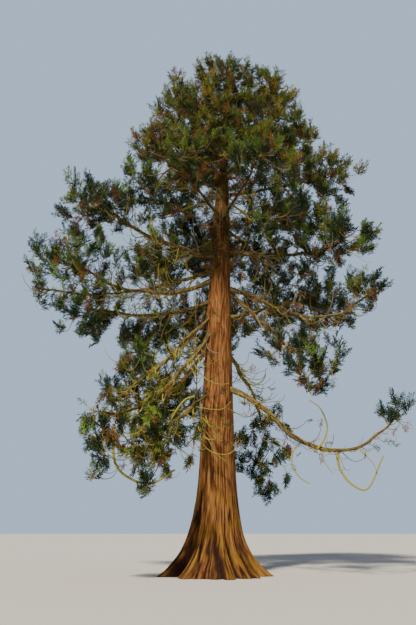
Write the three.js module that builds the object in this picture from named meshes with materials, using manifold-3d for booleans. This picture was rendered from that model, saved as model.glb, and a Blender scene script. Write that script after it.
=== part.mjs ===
// A giant sequoia about 27 m tall, as the trunk, the main boughs and the masses of foliage at their ends.
// The tables give metres and degrees, and the model is in millimetres. +Z is up, the origin is in the
// middle of the flat cut under the trunk, and an azimuth turns from +X towards +Y.

import * as THREE from "three";
import { mergeVertices } from "three/addons/utils/BufferGeometryUtils.js";
import Module from "manifold-3d";

const METRE = 1000;
const DEGREE = Math.PI / 180;
const GAP = 0.0004; // left free between two pieces that meet

// Trunk: an even taper that thins faster inside the crown, and a flare of uneven buttresses at the foot.
const TRUNK_HEIGHT = 26.6;
const TRUNK_RADIUS = 0.93;
const TRUNK_TAPER = 0.85;
const TAPER_HEIGHT = 27;
const CROWN_THINNING = 0.38;
const THINNING_FROM = 17.5;
const THINNING_TO = 20.5;
const FLARE = 1.3;
const FLARE_FADE = 0.95;
const LEAN = 0.62; // towards +X, at LEAN_HEIGHT
const LEAN_HEIGHT = 24;
const TRUNK_SIDES = 27;
const TRUNK_RINGS = [0, 0.25, 0.6, 1, 1.5, 2.2, 3.1, 4.2, 5.6, 7.5, 10, 12.5, 15, 17, 18.5, 20, 22, 24.5];

const BUTTRESS_DEPTH = 0.13; // as a part of the radius at the ground
const BUTTRESS_FADE = 1.3;
const BUTTRESS_WAVES = [
  { count: 9, share: 0.6, turn: 40 },
  { count: 5, share: 0.4, turn: 15 },
];
const GREAT_BUTTRESS = { azimuth: 187, spread: 17, height: 4.2, depth: 0.2 };
const GREAT_FURROW = { azimuth: 212, spread: 9, height: 5.2, depth: -0.12 };

// Boughs. Each leaves the trunk at height `from` and slope `leaves`, and comes to height `to` and slope
// `arrives` at distance `reach` from the trunk's axis, turned by `sweep` on the way.
// Columns: azimuth, sweep, from, leaves, reach, to, arrives, radius at the root, radius at the tip.
const BOUGH_SIDES = 6;
const BOUGH_STEPS = 6;
const COLLAR = 0.45; // how much thicker a bough is where it joins the trunk
const COLLAR_FADE = 0.09;
const NEARBY = 0.01; // how far on the slope is read, as a part of the length
const ROOT_DEPTH = 0.35; // where a bough starts, as a part of the trunk's radius
const BOUGHS = {
  left_upper_bough: [212, -2, 14.5, 3, 6.4, 15.9, 34, 0.13, 0.06],
  left_mid_bough: [206, -5, 13.5, -33, 6.6, 13.0, 36, 0.12, 0.05],
  left_far_bough: [180, 0, 14.0, -20, 8.9, 13.0, 12, 0.09, 0.04],
  left_lower_bough: [187, -1, 12.4, -30, 5.4, 11.6, 10, 0.1, 0.05],
  left_descending_bough: [207, 8, 11.6, -44, 5.2, 6.9, -38, 0.09, 0.04],
  left_hanging_bough: [219, 6, 11.1, -56, 6.3, 6.05, -3, 0.1, 0.045],
  left_short_bough: [216, 18, 7.9, -36, 3.4, 5.6, -38, 0.08, 0.045],
  front_hanging_bough: [233, 6, 7.1, -38, 1.9, 5.5, -66, 0.07, 0.045],
  right_arm_inner_bough: [337, 3, 8.0, -8, 4.9, 4.95, -14, 0.13, 0.085],
  right_stub_bough: [358, 9, 11.4, 10, 4.4, 12.6, 18, 0.09, 0.05],
  right_descending_bough: [341, -9, 13.0, -42, 4.4, 8.7, -40, 0.1, 0.05],
  right_long_bough: [350, -12, 13.0, -12, 6.9, 11.6, 40, 0.11, 0.045],
  right_drooping_bough: [22, 18, 16.2, -14, 3.6, 14.0, -44, 0.08, 0.045],
  right_mid_bough: [350, -9, 15.1, -18, 5.8, 14.6, 14, 0.1, 0.045],
  left_high_bough: [188, 0, 18.5, 20, 3.8, 21.6, 55, 0.08, 0.045],
  right_high_bough: [356, 2, 18.2, 4, 5.0, 19.1, 20, 0.08, 0.045],
  left_back_bough: [150, -6, 15.6, -8, 3.9, 15.4, 4, 0.08, 0.045],
  front_left_high_bough: [240, -6, 16.9, 6, 3.9, 17.9, 22, 0.08, 0.045],
  front_right_high_bough: [286, 4, 16.6, 6, 3.8, 17.4, 20, 0.08, 0.045],
  back_right_low_bough: [55, 8, 10.2, -30, 5.0, 7.2, -36, 0.11, 0.05],
  back_left_low_bough: [126, 4, 10.6, -36, 5.0, 8.5, 0, 0.11, 0.05],
  back_mid_bough: [92, 4, 13.2, -20, 5.2, 13.0, 22, 0.12, 0.05],
  back_high_bough: [104, 4, 17.0, 0, 4.2, 17.7, 20, 0.09, 0.045],
};
// The long low arm turns up again past its lowest point, where its second length is butted to the first.
const ARM_BUTT = 4.86;
const ARM_OUTER = [340, 5, 4.95, -10, 7.8, 6.3, 52, 0.08, 0.045];

// Masses of foliage. Each has its middle at an azimuth, a reach from the trunk's axis and a height, and
// half sizes along the bough, across it and up. `rise` lifts its outer edge.
// Columns: azimuth, reach, height, along, across, up, rise, and the bough that ends in it, if one does.
const LUMP_WAVES = 7;
const FEWEST_LUMPS = 3; // across a mass, in radians of each wave
const MORE_LUMPS = 4;
const FIRST_SEED = 101;
const SEED_STEP = 37;
const LUMP_DEPTH = 0.22;
const FLAT_UNDERSIDE = 0.85; // how deep a mass is under its middle, against its height above it
const LARGE = 1.25; // the mean half size from which a mass is given more faces
const MASSES = {
  top_foliage: [200, 0.1, 25.7, 2.1, 2.1, 1.45, 0],
  top_left_foliage: [205, 2.1, 23.2, 1.7, 1.9, 1.5, -10],
  top_right_foliage: [358, 2.3, 24.3, 1.5, 1.7, 1.5, -12],
  top_back_foliage: [112, 2.3, 22.3, 2.2, 2.6, 2.3, -20],
  top_front_foliage: [268, 2.1, 21.6, 1.5, 1.8, 1.7, -10],
  left_shoulder_foliage: [186, 3.6, 21.6, 1.5, 1.7, 1.3, -10, "left_high_bough"],
  right_shoulder_foliage: [8, 3.3, 22.2, 1.8, 1.9, 1.6, -15],
  left_upper_fan_foliage: [211, 6.3, 15.95, 2.2, 1.7, 1.2, -16, "left_upper_bough"],
  left_upper_inner_foliage: [209, 3.5, 17.9, 2.2, 1.5, 1.3, 0],
  left_mid_fan_foliage: [200, 7.3, 13.5, 2.2, 1.7, 1.0, 0, "left_mid_bough"],
  left_far_tuft_foliage: [180, 9.2, 13.1, 0.8, 0.9, 0.6, 10, "left_far_bough"],
  left_lower_foliage: [186, 5.9, 11.6, 1.9, 1.6, 1.1, 5, "left_lower_bough"],
  left_lower_inner_foliage: [163, 4.0, 11.2, 1.6, 1.5, 0.8, 0],
  left_thin_foliage: [206, 4.2, 8.6, 1.1, 1.0, 0.8, -20],
  left_hanging_outer_foliage: [225, 6.2, 5.3, 1.15, 1.2, 1.2, 0, "left_hanging_bough"],
  left_hanging_inner_foliage: [229, 4.3, 5.1, 1.2, 1.3, 1.6, 0, "left_short_bough"],
  trunk_side_hanging_foliage: [236, 2.1, 4.8, 0.7, 0.7, 1.2, 0, "front_hanging_bough"],
  front_left_upper_foliage: [248, 4.0, 18.3, 1.6, 1.7, 1.3, 0, "front_left_high_bough"],
  front_right_upper_foliage: [290, 4.0, 18.0, 1.6, 1.7, 1.4, 0, "front_right_high_bough"],
  right_inner_foliage: [306, 3.6, 15.9, 1.5, 1.6, 1.3, 0],
  right_upper_foliage: [355, 5.1, 19.3, 1.8, 1.7, 1.5, -5, "right_high_bough"],
  right_back_mid_foliage: [20, 4.4, 17.4, 1.8, 1.8, 1.3, 0],
  right_back_low_foliage: [55, 3.9, 16.2, 2.0, 2.1, 1.3, 0],
  right_mid_foliage: [341, 6.0, 14.8, 1.9, 1.6, 1.15, 4, "right_mid_bough"],
  right_inner_low_foliage: [38, 4.0, 13.6, 1.8, 1.8, 1.2, 0, "right_drooping_bough"],
  right_lower_foliage: [8, 5.3, 12.5, 1.8, 1.8, 1.1, 0, "right_stub_bough"],
  right_long_tip_foliage: [338, 7.2, 12.1, 1.1, 1.3, 1.0, 10, "right_long_bough"],
  right_low_wide_foliage: [329, 4.4, 9.1, 1.9, 2.0, 1.1, -8, "right_descending_bough"],
  right_arm_tip_foliage: [345, 7.8, 6.6, 0.75, 0.8, 0.95, 0, "right_arm_outer_bough"],
  left_back_mid_foliage: [146, 4.3, 15.4, 2.0, 2.3, 1.1, 4, "left_back_bough"],
  back_right_hanging_foliage: [62, 4.9, 5.7, 1.5, 1.6, 2.5, 0, "back_right_low_bough"],
  back_left_low_foliage: [126, 5.5, 8.6, 2.4, 2.9, 2.0, -5, "back_left_low_bough"],
  back_mid_foliage: [94, 5.7, 13.1, 2.5, 3.5, 2.1, 5, "back_mid_bough"],
  back_high_foliage: [104, 4.3, 17.7, 2.4, 3.0, 2.2, 5, "back_high_bough"],
};

const BARK = { color: 0x8a5a3c, roughness: 0.95, metalness: 0 };
const BOUGH_BARK = { color: 0x7b6a4c, roughness: 0.9, metalness: 0 };
const FOLIAGE = { color: 0x44562c, roughness: 0.85, metalness: 0 };

const wasm = await Module();
wasm.setup();

const RANDOM_FACTOR = 16807;
const RANDOM_PRIME = 2147483647;

// Repeatable random numbers from 0 to 1.
function seededRandom(seed) {
  let state = seed;
  return () => {
    state = (state * RANDOM_FACTOR) % RANDOM_PRIME;
    return state / RANDOM_PRIME;
  };
}

// The shape's vertices, shared between its faces.
function shared(geometry) {
  geometry.deleteAttribute("normal");
  geometry.deleteAttribute("uv");
  return mergeVertices(geometry);
}

// Moves every vertex of a unit shape to the place, in metres, that `place` gives for it.
function reshaped(geometry, place) {
  const positions = geometry.attributes.position;
  const vertex = new THREE.Vector3();
  for (let i = 0; i < positions.count; i += 1) {
    const moved = place(vertex.fromBufferAttribute(positions, i)).multiplyScalar(METRE);
    positions.setXYZ(i, moved.x, moved.y, moved.z);
  }
  return geometry;
}

// A closed geometry as a solid that can be cut.
function solid(geometry) {
  const vertProperties = new Float32Array(geometry.attributes.position.array);
  const triVerts = new Uint32Array(geometry.index.array);
  return new wasm.Manifold(new wasm.Mesh({ numProp: 3, vertProperties, triVerts }));
}

// The largest single body of a cut solid.
function largestBody(cut) {
  return cut.decompose().reduce((best, body) => (body.volume() > best.volume() ? body : best));
}

function named(name, cut, finish) {
  const mesh = cut.getMesh();
  const geometry = new THREE.BufferGeometry();
  geometry.setAttribute("position", new THREE.BufferAttribute(mesh.vertProperties, 3));
  geometry.setIndex(new THREE.BufferAttribute(mesh.triVerts, 1));
  geometry.computeVertexNormals();
  const piece = new THREE.Mesh(geometry, new THREE.MeshStandardMaterial(finish));
  piece.name = name;
  return piece;
}

const axisX = (z) => LEAN * (z / LEAN_HEIGHT) ** 2;

function trunkRadius(z) {
  const taper = (1 - z / TAPER_HEIGHT) ** TRUNK_TAPER;
  const thinning = 1 - CROWN_THINNING * THREE.MathUtils.smoothstep(z, THINNING_FROM, THINNING_TO);
  return TRUNK_RADIUS * taper * thinning + FLARE * Math.exp(-z / FLARE_FADE);
}

// How far one upright rib or furrow stands out of the trunk.
function ridge({ azimuth, spread, height, depth }, angle, z) {
  const aside = THREE.MathUtils.euclideanModulo(angle / DEGREE - azimuth + 180, 360) - 180;
  return depth * Math.exp(-((aside / spread) ** 2)) * (1 - THREE.MathUtils.smoothstep(z, 0, height));
}

function trunkSurface(angle, z) {
  const fade = BUTTRESS_DEPTH * Math.exp(-z / BUTTRESS_FADE);
  const waves = BUTTRESS_WAVES.reduce(
    (sum, wave) => sum + wave.share * Math.cos(wave.count * angle + wave.turn * DEGREE),
    0,
  );
  const ribs = ridge(GREAT_BUTTRESS, angle, z) + ridge(GREAT_FURROW, angle, z);
  return trunkRadius(z) * (1 + fade * waves) + ribs;
}

function trunkSolid(grown) {
  const heights = [...TRUNK_RINGS, TRUNK_HEIGHT];
  const steps = heights.length - 1;
  const unit = shared(new THREE.CylinderGeometry(1, 1, 1, TRUNK_SIDES, steps));
  return solid(
    reshaped(unit, (vertex) => {
      const z = heights[Math.round((vertex.y + 0.5) * steps)];
      const angle = Math.atan2(-vertex.z, vertex.x);
      const radius = Math.hypot(vertex.x, vertex.z) > 0.5 ? trunkSurface(angle, z) + grown : 0;
      return new THREE.Vector3(axisX(z) + radius * Math.cos(angle), radius * Math.sin(angle), z);
    }),
  );
}

function boughPlan(name, start, columns) {
  const [azimuth, sweep, from, leaves, reach, to, arrives, rootRadius, tipRadius] = columns;
  return { name, start, azimuth, sweep, from, leaves, reach, to, arrives, rootRadius, tipRadius };
}

// The middle of a bough at a part of its length: a cubic rise over an even run outwards.
function boughMiddle(bough, part) {
  const run = bough.reach - bough.start;
  const rootRise = Math.tan(bough.leaves * DEGREE) * run;
  const tipRise = Math.tan(bough.arrives * DEGREE) * run;
  const square = part * part;
  const cube = square * part;
  const z =
    bough.from * (2 * cube - 3 * square + 1) +
    bough.to * (3 * square - 2 * cube) +
    rootRise * (cube - 2 * square + part) +
    tipRise * (cube - square);
  const outwards = bough.start + run * part;
  const angle = (bough.azimuth + bough.sweep * square) * DEGREE;
  return new THREE.Vector3(axisX(bough.from) + outwards * Math.cos(angle), outwards * Math.sin(angle), z);
}

function boughSolid(bough, grown) {
  const up = new THREE.Vector3(0, 0, 1);
  const unit = shared(new THREE.CylinderGeometry(1, 1, 1, BOUGH_SIDES, BOUGH_STEPS));
  return solid(
    reshaped(unit, (vertex) => {
      const part = vertex.y + 0.5;
      const middle = boughMiddle(bough, part);
      const ahead = boughMiddle(bough, part + NEARBY);
      const forward = ahead.sub(boughMiddle(bough, part - NEARBY)).normalize();
      middle.addScaledVector(forward, part > 1 - NEARBY ? grown : 0);
      const side = new THREE.Vector3().crossVectors(up, forward).normalize();
      const other = new THREE.Vector3().crossVectors(side, forward);
      const collar = bough.start < 1 ? 1 + COLLAR * Math.exp(-part / COLLAR_FADE) : 1;
      const radius = THREE.MathUtils.lerp(bough.rootRadius, bough.tipRadius, part) * collar + grown;
      return middle.addScaledVector(side, vertex.x * radius).addScaledVector(other, vertex.z * radius);
    }),
  );
}

function massPlan(name, columns) {
  const [azimuth, reach, height, along, across, upwards, rise, bough] = columns;
  return { name, azimuth, reach, height, along, across, upwards, rise, bough };
}

// A rounded, lumpy body, with waves of its own drawn from its seed.
function massSolid(mass, seed, grown) {
  const random = seededRandom(seed);
  const waves = Array.from({ length: LUMP_WAVES }, () => ({
    way: new THREE.Vector3(random() - 0.5, random() - 0.5, random() - 0.5).normalize(),
    count: FEWEST_LUMPS + MORE_LUMPS * random(),
    phase: 2 * Math.PI * random(),
  }));
  const angle = mass.azimuth * DEGREE;
  const turn = new THREE.Euler(0, -mass.rise * DEGREE, angle, "ZYX");
  const middle = new THREE.Vector3(Math.cos(angle), Math.sin(angle), 0).multiplyScalar(mass.reach);
  middle.x += axisX(mass.height);
  middle.z = mass.height;
  const halves = new THREE.Vector3(mass.along, mass.across, mass.upwards);
  const large = Math.cbrt(halves.x * halves.y * halves.z) > LARGE;
  const unit = shared(large ? new THREE.OctahedronGeometry(1, 3) : new THREE.IcosahedronGeometry(1, 1));
  return solid(
    reshaped(unit, (vertex) => {
      const lumps = waves.reduce(
        (sum, wave) => sum + Math.sin(wave.count * vertex.dot(wave.way) + wave.phase),
        0,
      );
      const size = 1 + (LUMP_DEPTH * lumps) / Math.sqrt(LUMP_WAVES);
      const place = vertex.clone().multiply(halves).multiplyScalar(size);
      place.z *= vertex.z < 0 ? FLAT_UNDERSIDE : 1;
      place.addScaledVector(vertex, grown);
      return place.applyEuler(turn).add(middle);
    }),
  );
}

function plansOfBoughs() {
  const plans = Object.entries(BOUGHS).map(([name, columns]) =>
    boughPlan(name, ROOT_DEPTH * trunkRadius(columns[2]), columns),
  );
  plans.push(boughPlan("right_arm_outer_bough", ARM_BUTT, ARM_OUTER));
  return plans;
}

// The whole tree: the boughs end at the trunk and at their masses, and the masses go round all the rest.
function tree() {
  const group = new THREE.Group();
  group.add(named("trunk", trunkSolid(0), BARK));

  const masses = Object.entries(MASSES).map(([name, columns], index) => {
    const plan = massPlan(name, columns);
    const seed = FIRST_SEED + SEED_STEP * index;
    return { ...plan, body: massSolid(plan, seed, 0), around: massSolid(plan, seed, GAP) };
  });

  const taken = [trunkSolid(GAP)];
  const stopped = (body, obstacles) => obstacles.reduce((rest, obstacle) => rest.subtract(obstacle), body);
  for (const bough of plansOfBoughs()) {
    const ends = masses.filter((mass) => mass.bough === bough.name);
    const limb = stopped(boughSolid(bough, 0), [...taken, ...ends.map((mass) => mass.around)]);
    taken.push(stopped(boughSolid(bough, GAP), ends.map((mass) => mass.body)));
    group.add(named(bough.name, largestBody(limb), BOUGH_BARK));
  }
  for (const mass of masses) {
    group.add(named(mass.name, largestBody(stopped(mass.body, taken)), FOLIAGE));
    taken.push(mass.around);
  }
  return group;
}

export default tree();
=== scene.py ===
"""A giant sequoia about 27 m tall, in metres: bark, boughs, branches, sprays and cones on the fixed frame.

The frame gives the trunk, the boughs and one closed solid for each mass of foliage. The trunk and boughs
get a mesh with the relief of the bark. The masses are replaced by branches that grow on from the limbs by a
seeded rule, with branchlets, sprays, bare twigs and cones.
"""

import itertools
import logging
import math
from dataclasses import dataclass, field
from enum import Enum

import bmesh
import bpy
import numpy as np
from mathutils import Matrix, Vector
from mathutils.bvhtree import BVHTree


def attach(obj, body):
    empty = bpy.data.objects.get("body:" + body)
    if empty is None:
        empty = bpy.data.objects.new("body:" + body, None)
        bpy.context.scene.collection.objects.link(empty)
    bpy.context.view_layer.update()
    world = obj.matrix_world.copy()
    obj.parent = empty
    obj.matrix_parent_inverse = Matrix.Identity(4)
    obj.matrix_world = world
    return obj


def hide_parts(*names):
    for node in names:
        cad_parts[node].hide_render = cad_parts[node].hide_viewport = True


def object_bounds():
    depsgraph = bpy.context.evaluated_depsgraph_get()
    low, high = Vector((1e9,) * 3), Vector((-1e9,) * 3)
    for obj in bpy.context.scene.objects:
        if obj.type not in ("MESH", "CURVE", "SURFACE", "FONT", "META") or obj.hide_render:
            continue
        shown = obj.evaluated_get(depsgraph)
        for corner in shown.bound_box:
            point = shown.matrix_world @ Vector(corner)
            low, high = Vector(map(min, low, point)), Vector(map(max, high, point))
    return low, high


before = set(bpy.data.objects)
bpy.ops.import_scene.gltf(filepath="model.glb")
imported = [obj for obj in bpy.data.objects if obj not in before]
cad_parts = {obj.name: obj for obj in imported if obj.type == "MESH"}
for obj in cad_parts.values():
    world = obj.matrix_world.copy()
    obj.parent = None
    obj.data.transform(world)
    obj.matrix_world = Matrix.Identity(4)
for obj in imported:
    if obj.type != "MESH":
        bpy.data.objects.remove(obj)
CAD_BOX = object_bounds()

logging.basicConfig(level=logging.INFO, format="%(message)s")
log = logging.getLogger("sequoia")

BODY = "root"
UP = np.array([0.0, 0.0, 1.0])
FULL_TURN = 2.0 * math.pi
NOISE_SHIFT = 37.3
Colour = tuple[float, float, float]


class Slot(Enum):
    """The record's material slots."""

    TRUNK = "trunk_bark"
    BOUGH = "bough_bark"
    FOLIAGE = "foliage"


class Habit(Enum):
    """How the branchlets of a mass hang or rise."""

    UPSWEPT = "upswept"
    WEEPING = "weeping"


def unit(vectors: np.ndarray) -> np.ndarray:
    """Vectors scaled to length one, along the last axis."""
    return vectors / np.maximum(np.linalg.norm(vectors, axis=-1, keepdims=True), 1e-9)


def smoothstep(values: np.ndarray, low: float, high: float) -> np.ndarray:
    """A smooth rise from 0 at low to 1 at high."""
    part = np.clip((values - low) / (high - low), 0.0, 1.0)
    return part * part * (3.0 - 2.0 * part)


def in_box(points: np.ndarray, margin: float) -> bool:
    """Whether points, one in each row, are all in the frame's box, with a margin in metres."""
    low, high = (np.array(corner) for corner in CAD_BOX)
    return bool(np.all(points > low - margin) and np.all(points < high + margin))


class Noise:
    """Smooth gradient noise in space, the same on every run."""

    def __init__(self, seed: int) -> None:
        """Draws the noise's directions.

        Args:
            seed: the number that the directions are drawn from.
        """
        rng = np.random.default_rng(seed)
        self.order = np.tile(rng.permutation(256), 3)
        self.gradients = unit(rng.normal(size=(256, 3)))

    def at(self, points: np.ndarray) -> np.ndarray:
        """The noise at some points.

        Args:
            points: places, one per row.

        Returns:
            One value for each place, mostly between -0.7 and 0.7.
        """
        cell = np.floor(points).astype(int)
        local = points - cell
        fade = local**3 * (local * (local * 6.0 - 15.0) + 10.0)
        total = np.zeros(len(points))
        for corner in itertools.product((0, 1), repeat=3):
            a, b, c = ((cell + corner) & 255).T
            pick = self.order[self.order[self.order[a] + b] + c]
            weight = np.prod(np.where(corner, fade, 1.0 - fade), axis=1)
            total += weight * np.einsum("ij,ij->i", self.gradients[pick], local - corner)
        return total


def mesh_object(name: str, points: np.ndarray, faces: list[list[int]]) -> bpy.types.Object:
    """A mesh object, linked to the scene.

    Args:
        name: the object's name.
        points: vertex places in metres.
        faces: vertex indices of each face.

    Returns:
        The object, at the origin.
    """
    mesh = bpy.data.meshes.new(name)
    mesh.from_pydata(points.tolist(), [], faces)
    mesh.update()
    made = bpy.data.objects.new(name, mesh)
    bpy.context.scene.collection.objects.link(made)
    return made


def tube_faces(rings: int, sides: int) -> list[list[int]]:
    """Faces of a closed tube of rings, each ring's vertices in a row, with a flat cap at each end.

    Args:
        rings: how many rings there are.
        sides: how many vertices each ring has.

    Returns:
        Vertex indices, with the faces pointing out where the rings turn left about the way ahead.
    """
    ring = np.arange(rings - 1)[:, None] * sides
    side = np.arange(sides)[None, :]
    after = (side + 1) % sides
    quads = np.stack([ring + side, ring + after, ring + sides + after, ring + sides + side], axis=-1)
    last = (rings - 1) * sides
    caps = [list(range(sides - 1, -1, -1)), list(range(last, last + sides))]
    return quads.reshape(-1, 4).tolist() + caps


def tube_object(name: str, points: np.ndarray, rings: int, sides: int) -> bpy.types.Object:
    """A smooth-shaded closed tube as an object at the origin, from its rings' vertices, ring after ring."""
    made = mesh_object(name, points, tube_faces(rings, sides))
    made.data.shade_smooth()
    return made


def store(mesh: bpy.types.Mesh, name: str, values: np.ndarray, kind: str = "FLOAT") -> None:
    """Keeps one value for each vertex of a mesh as a named attribute of a kind."""
    flat = values.astype(np.int32 if kind == "INT" else np.float32).ravel()
    mesh.attributes.new(name, kind, "POINT").data.foreach_set("value", flat)


def seat(made: bpy.types.Object, slot: Slot, nodes: list[str]) -> None:
    """Says what a finished piece rides on and replaces.

    Args:
        made: the finished piece.
        slot: the record's material slot; not used.
        nodes: the frame's nodes that it stands for.
    """
    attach(made, BODY)
    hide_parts(*nodes)
    faces = sum(len(p.vertices) - 2 for p in made.data.polygons)
    log.info("%s: %d triangles, for %d nodes", made.name, faces, len(nodes))


class Nodes:
    """A node tree, with a short way to add its nodes and join them."""

    def __init__(self, tree: bpy.types.NodeTree) -> None:
        """Takes the tree that nodes are added to."""
        self.tree = tree

    def add(
        self, kind: str, inputs: dict[str | int, object] | None = None, **settings: object
    ) -> bpy.types.Node:
        """Adds a node.

        Args:
            kind: its type.
            inputs: what its inputs get, by name or number: a socket to join them to, or else a value.
            settings: its own settings.

        Returns:
            The node.
        """
        made = self.tree.nodes.new(kind)
        for key, value in settings.items():
            setattr(made, key, value)
        for key, value in (inputs or {}).items():
            if isinstance(value, bpy.types.NodeSocket):
                self.tree.links.new(value, made.inputs[key])
            else:
                made.inputs[key].default_value = value
        return made

    def sum(self, first: object, times: object, more: object) -> bpy.types.NodeSocket:
        """The first input multiplied by the second, with the third added."""
        return self.add("ShaderNodeMath", {0: first, 1: times, 2: more}, operation="MULTIPLY_ADD").outputs[0]

    def product(self, first: object, second: object) -> bpy.types.NodeSocket:
        """Two inputs multiplied."""
        return self.add("ShaderNodeMath", {0: first, 1: second}, operation="MULTIPLY").outputs[0]

    def rise(self, value: object, limits: tuple[float, float], **ends: float) -> bpy.types.NodeSocket:
        """A value mapped from between two limits to between 0 and 1.

        Args:
            value: the value.
            limits: what is mapped to the low and to the high end.
            ends: To_Min and To_Max, where they aren't 0 and 1.

        Returns:
            The mapped value, kept between its ends.
        """
        inputs = {"Value": value, "From Min": limits[0], "From Max": limits[1]}
        inputs.update({name.replace("_", " "): end for name, end in ends.items()})
        return self.add("ShaderNodeMapRange", inputs).outputs[0]


class NodeGroup(Nodes):
    """A group of nodes with named inputs and outputs."""

    def __init__(
        self, name: str, kind: str, inputs: dict[str, tuple[str, object]], outputs: dict[str, str]
    ) -> None:
        """Starts a group.

        Args:
            name: its name.
            kind: the type of its tree.
            inputs: each input's socket type and first value, by its name.
            outputs: each output's socket type, by its name.
        """
        super().__init__(bpy.data.node_groups.new(name, kind))
        self.sockets = {}
        for label, (socket_type, value) in inputs.items():
            socket = self.tree.interface.new_socket(label, in_out="INPUT", socket_type=socket_type)
            if value is not None:
                socket.default_value = value
            self.sockets[label] = socket.identifier
        for label, socket_type in outputs.items():
            self.tree.interface.new_socket(label, in_out="OUTPUT", socket_type=socket_type)
        self.inside = self.tree.nodes.new("NodeGroupInput").outputs
        self.outside = self.tree.nodes.new("NodeGroupOutput").inputs

    def give(self, **results: bpy.types.NodeSocket) -> None:
        """Joins results to the group's outputs, by their names."""
        for label, result in results.items():
            self.tree.links.new(result, self.outside[label])


def fibre_group() -> bpy.types.NodeTree:
    """A group of long fibres that run along a bark: colour mask and height from stretched noise.

    Returns:
        The group's tree, with inputs Vector and Fineness, and outputs Mask and Height.
    """
    group = NodeGroup(
        "bark_fibres",
        "ShaderNodeTree",
        {"Vector": ("NodeSocketVector", None), "Fineness": ("NodeSocketFloat", 10.0)},
        {"Mask": "NodeSocketFloat", "Height": "NodeSocketFloat"},
    )
    place, fineness = group.inside["Vector"], group.inside["Fineness"]
    broad = {"Vector": place, "Scale": fineness, "Detail": 6.0, "Roughness": 0.62}
    fine = {"Vector": place, "Scale": group.product(fineness, 3.3), "Detail": 3.0}
    layers = [group.add("ShaderNodeTexNoise", inputs).outputs["Fac"] for inputs in (broad, fine)]
    height = group.sum(layers[1], 0.4, layers[0])
    group.give(Mask=group.rise(height, (0.5, 0.9)), Height=height)
    return group.tree


def shaded(name: str, highlights: float) -> tuple[bpy.types.Material, Nodes, bpy.types.Node]:
    """A new material with its tree and its shader.

    Args:
        name: the material's name.
        highlights: the strength of its highlights.

    Returns:
        The material, its nodes and the shader.
    """
    made = bpy.data.materials.new(name)
    made.use_nodes = True
    shader = made.node_tree.nodes["Principled BSDF"]
    shader.inputs["Specular IOR Level"].default_value = highlights
    return made, Nodes(made.node_tree), shader


@dataclass(frozen=True)
class PlainFinish:
    """One plain colour, for the small pieces whose tint is dealt out by spray or by branch."""

    name: str
    colour: Colour
    roughness: float = 0.6
    highlights: float = 0.25

    def material(self) -> bpy.types.Material:
        """The finish as a material with its colour on the shader's own socket."""
        made, _, shader = shaded(self.name, self.highlights)
        shader.inputs["Base Color"].default_value = (*self.colour, 1.0)
        shader.inputs["Roughness"].default_value = self.roughness
        return made


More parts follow.
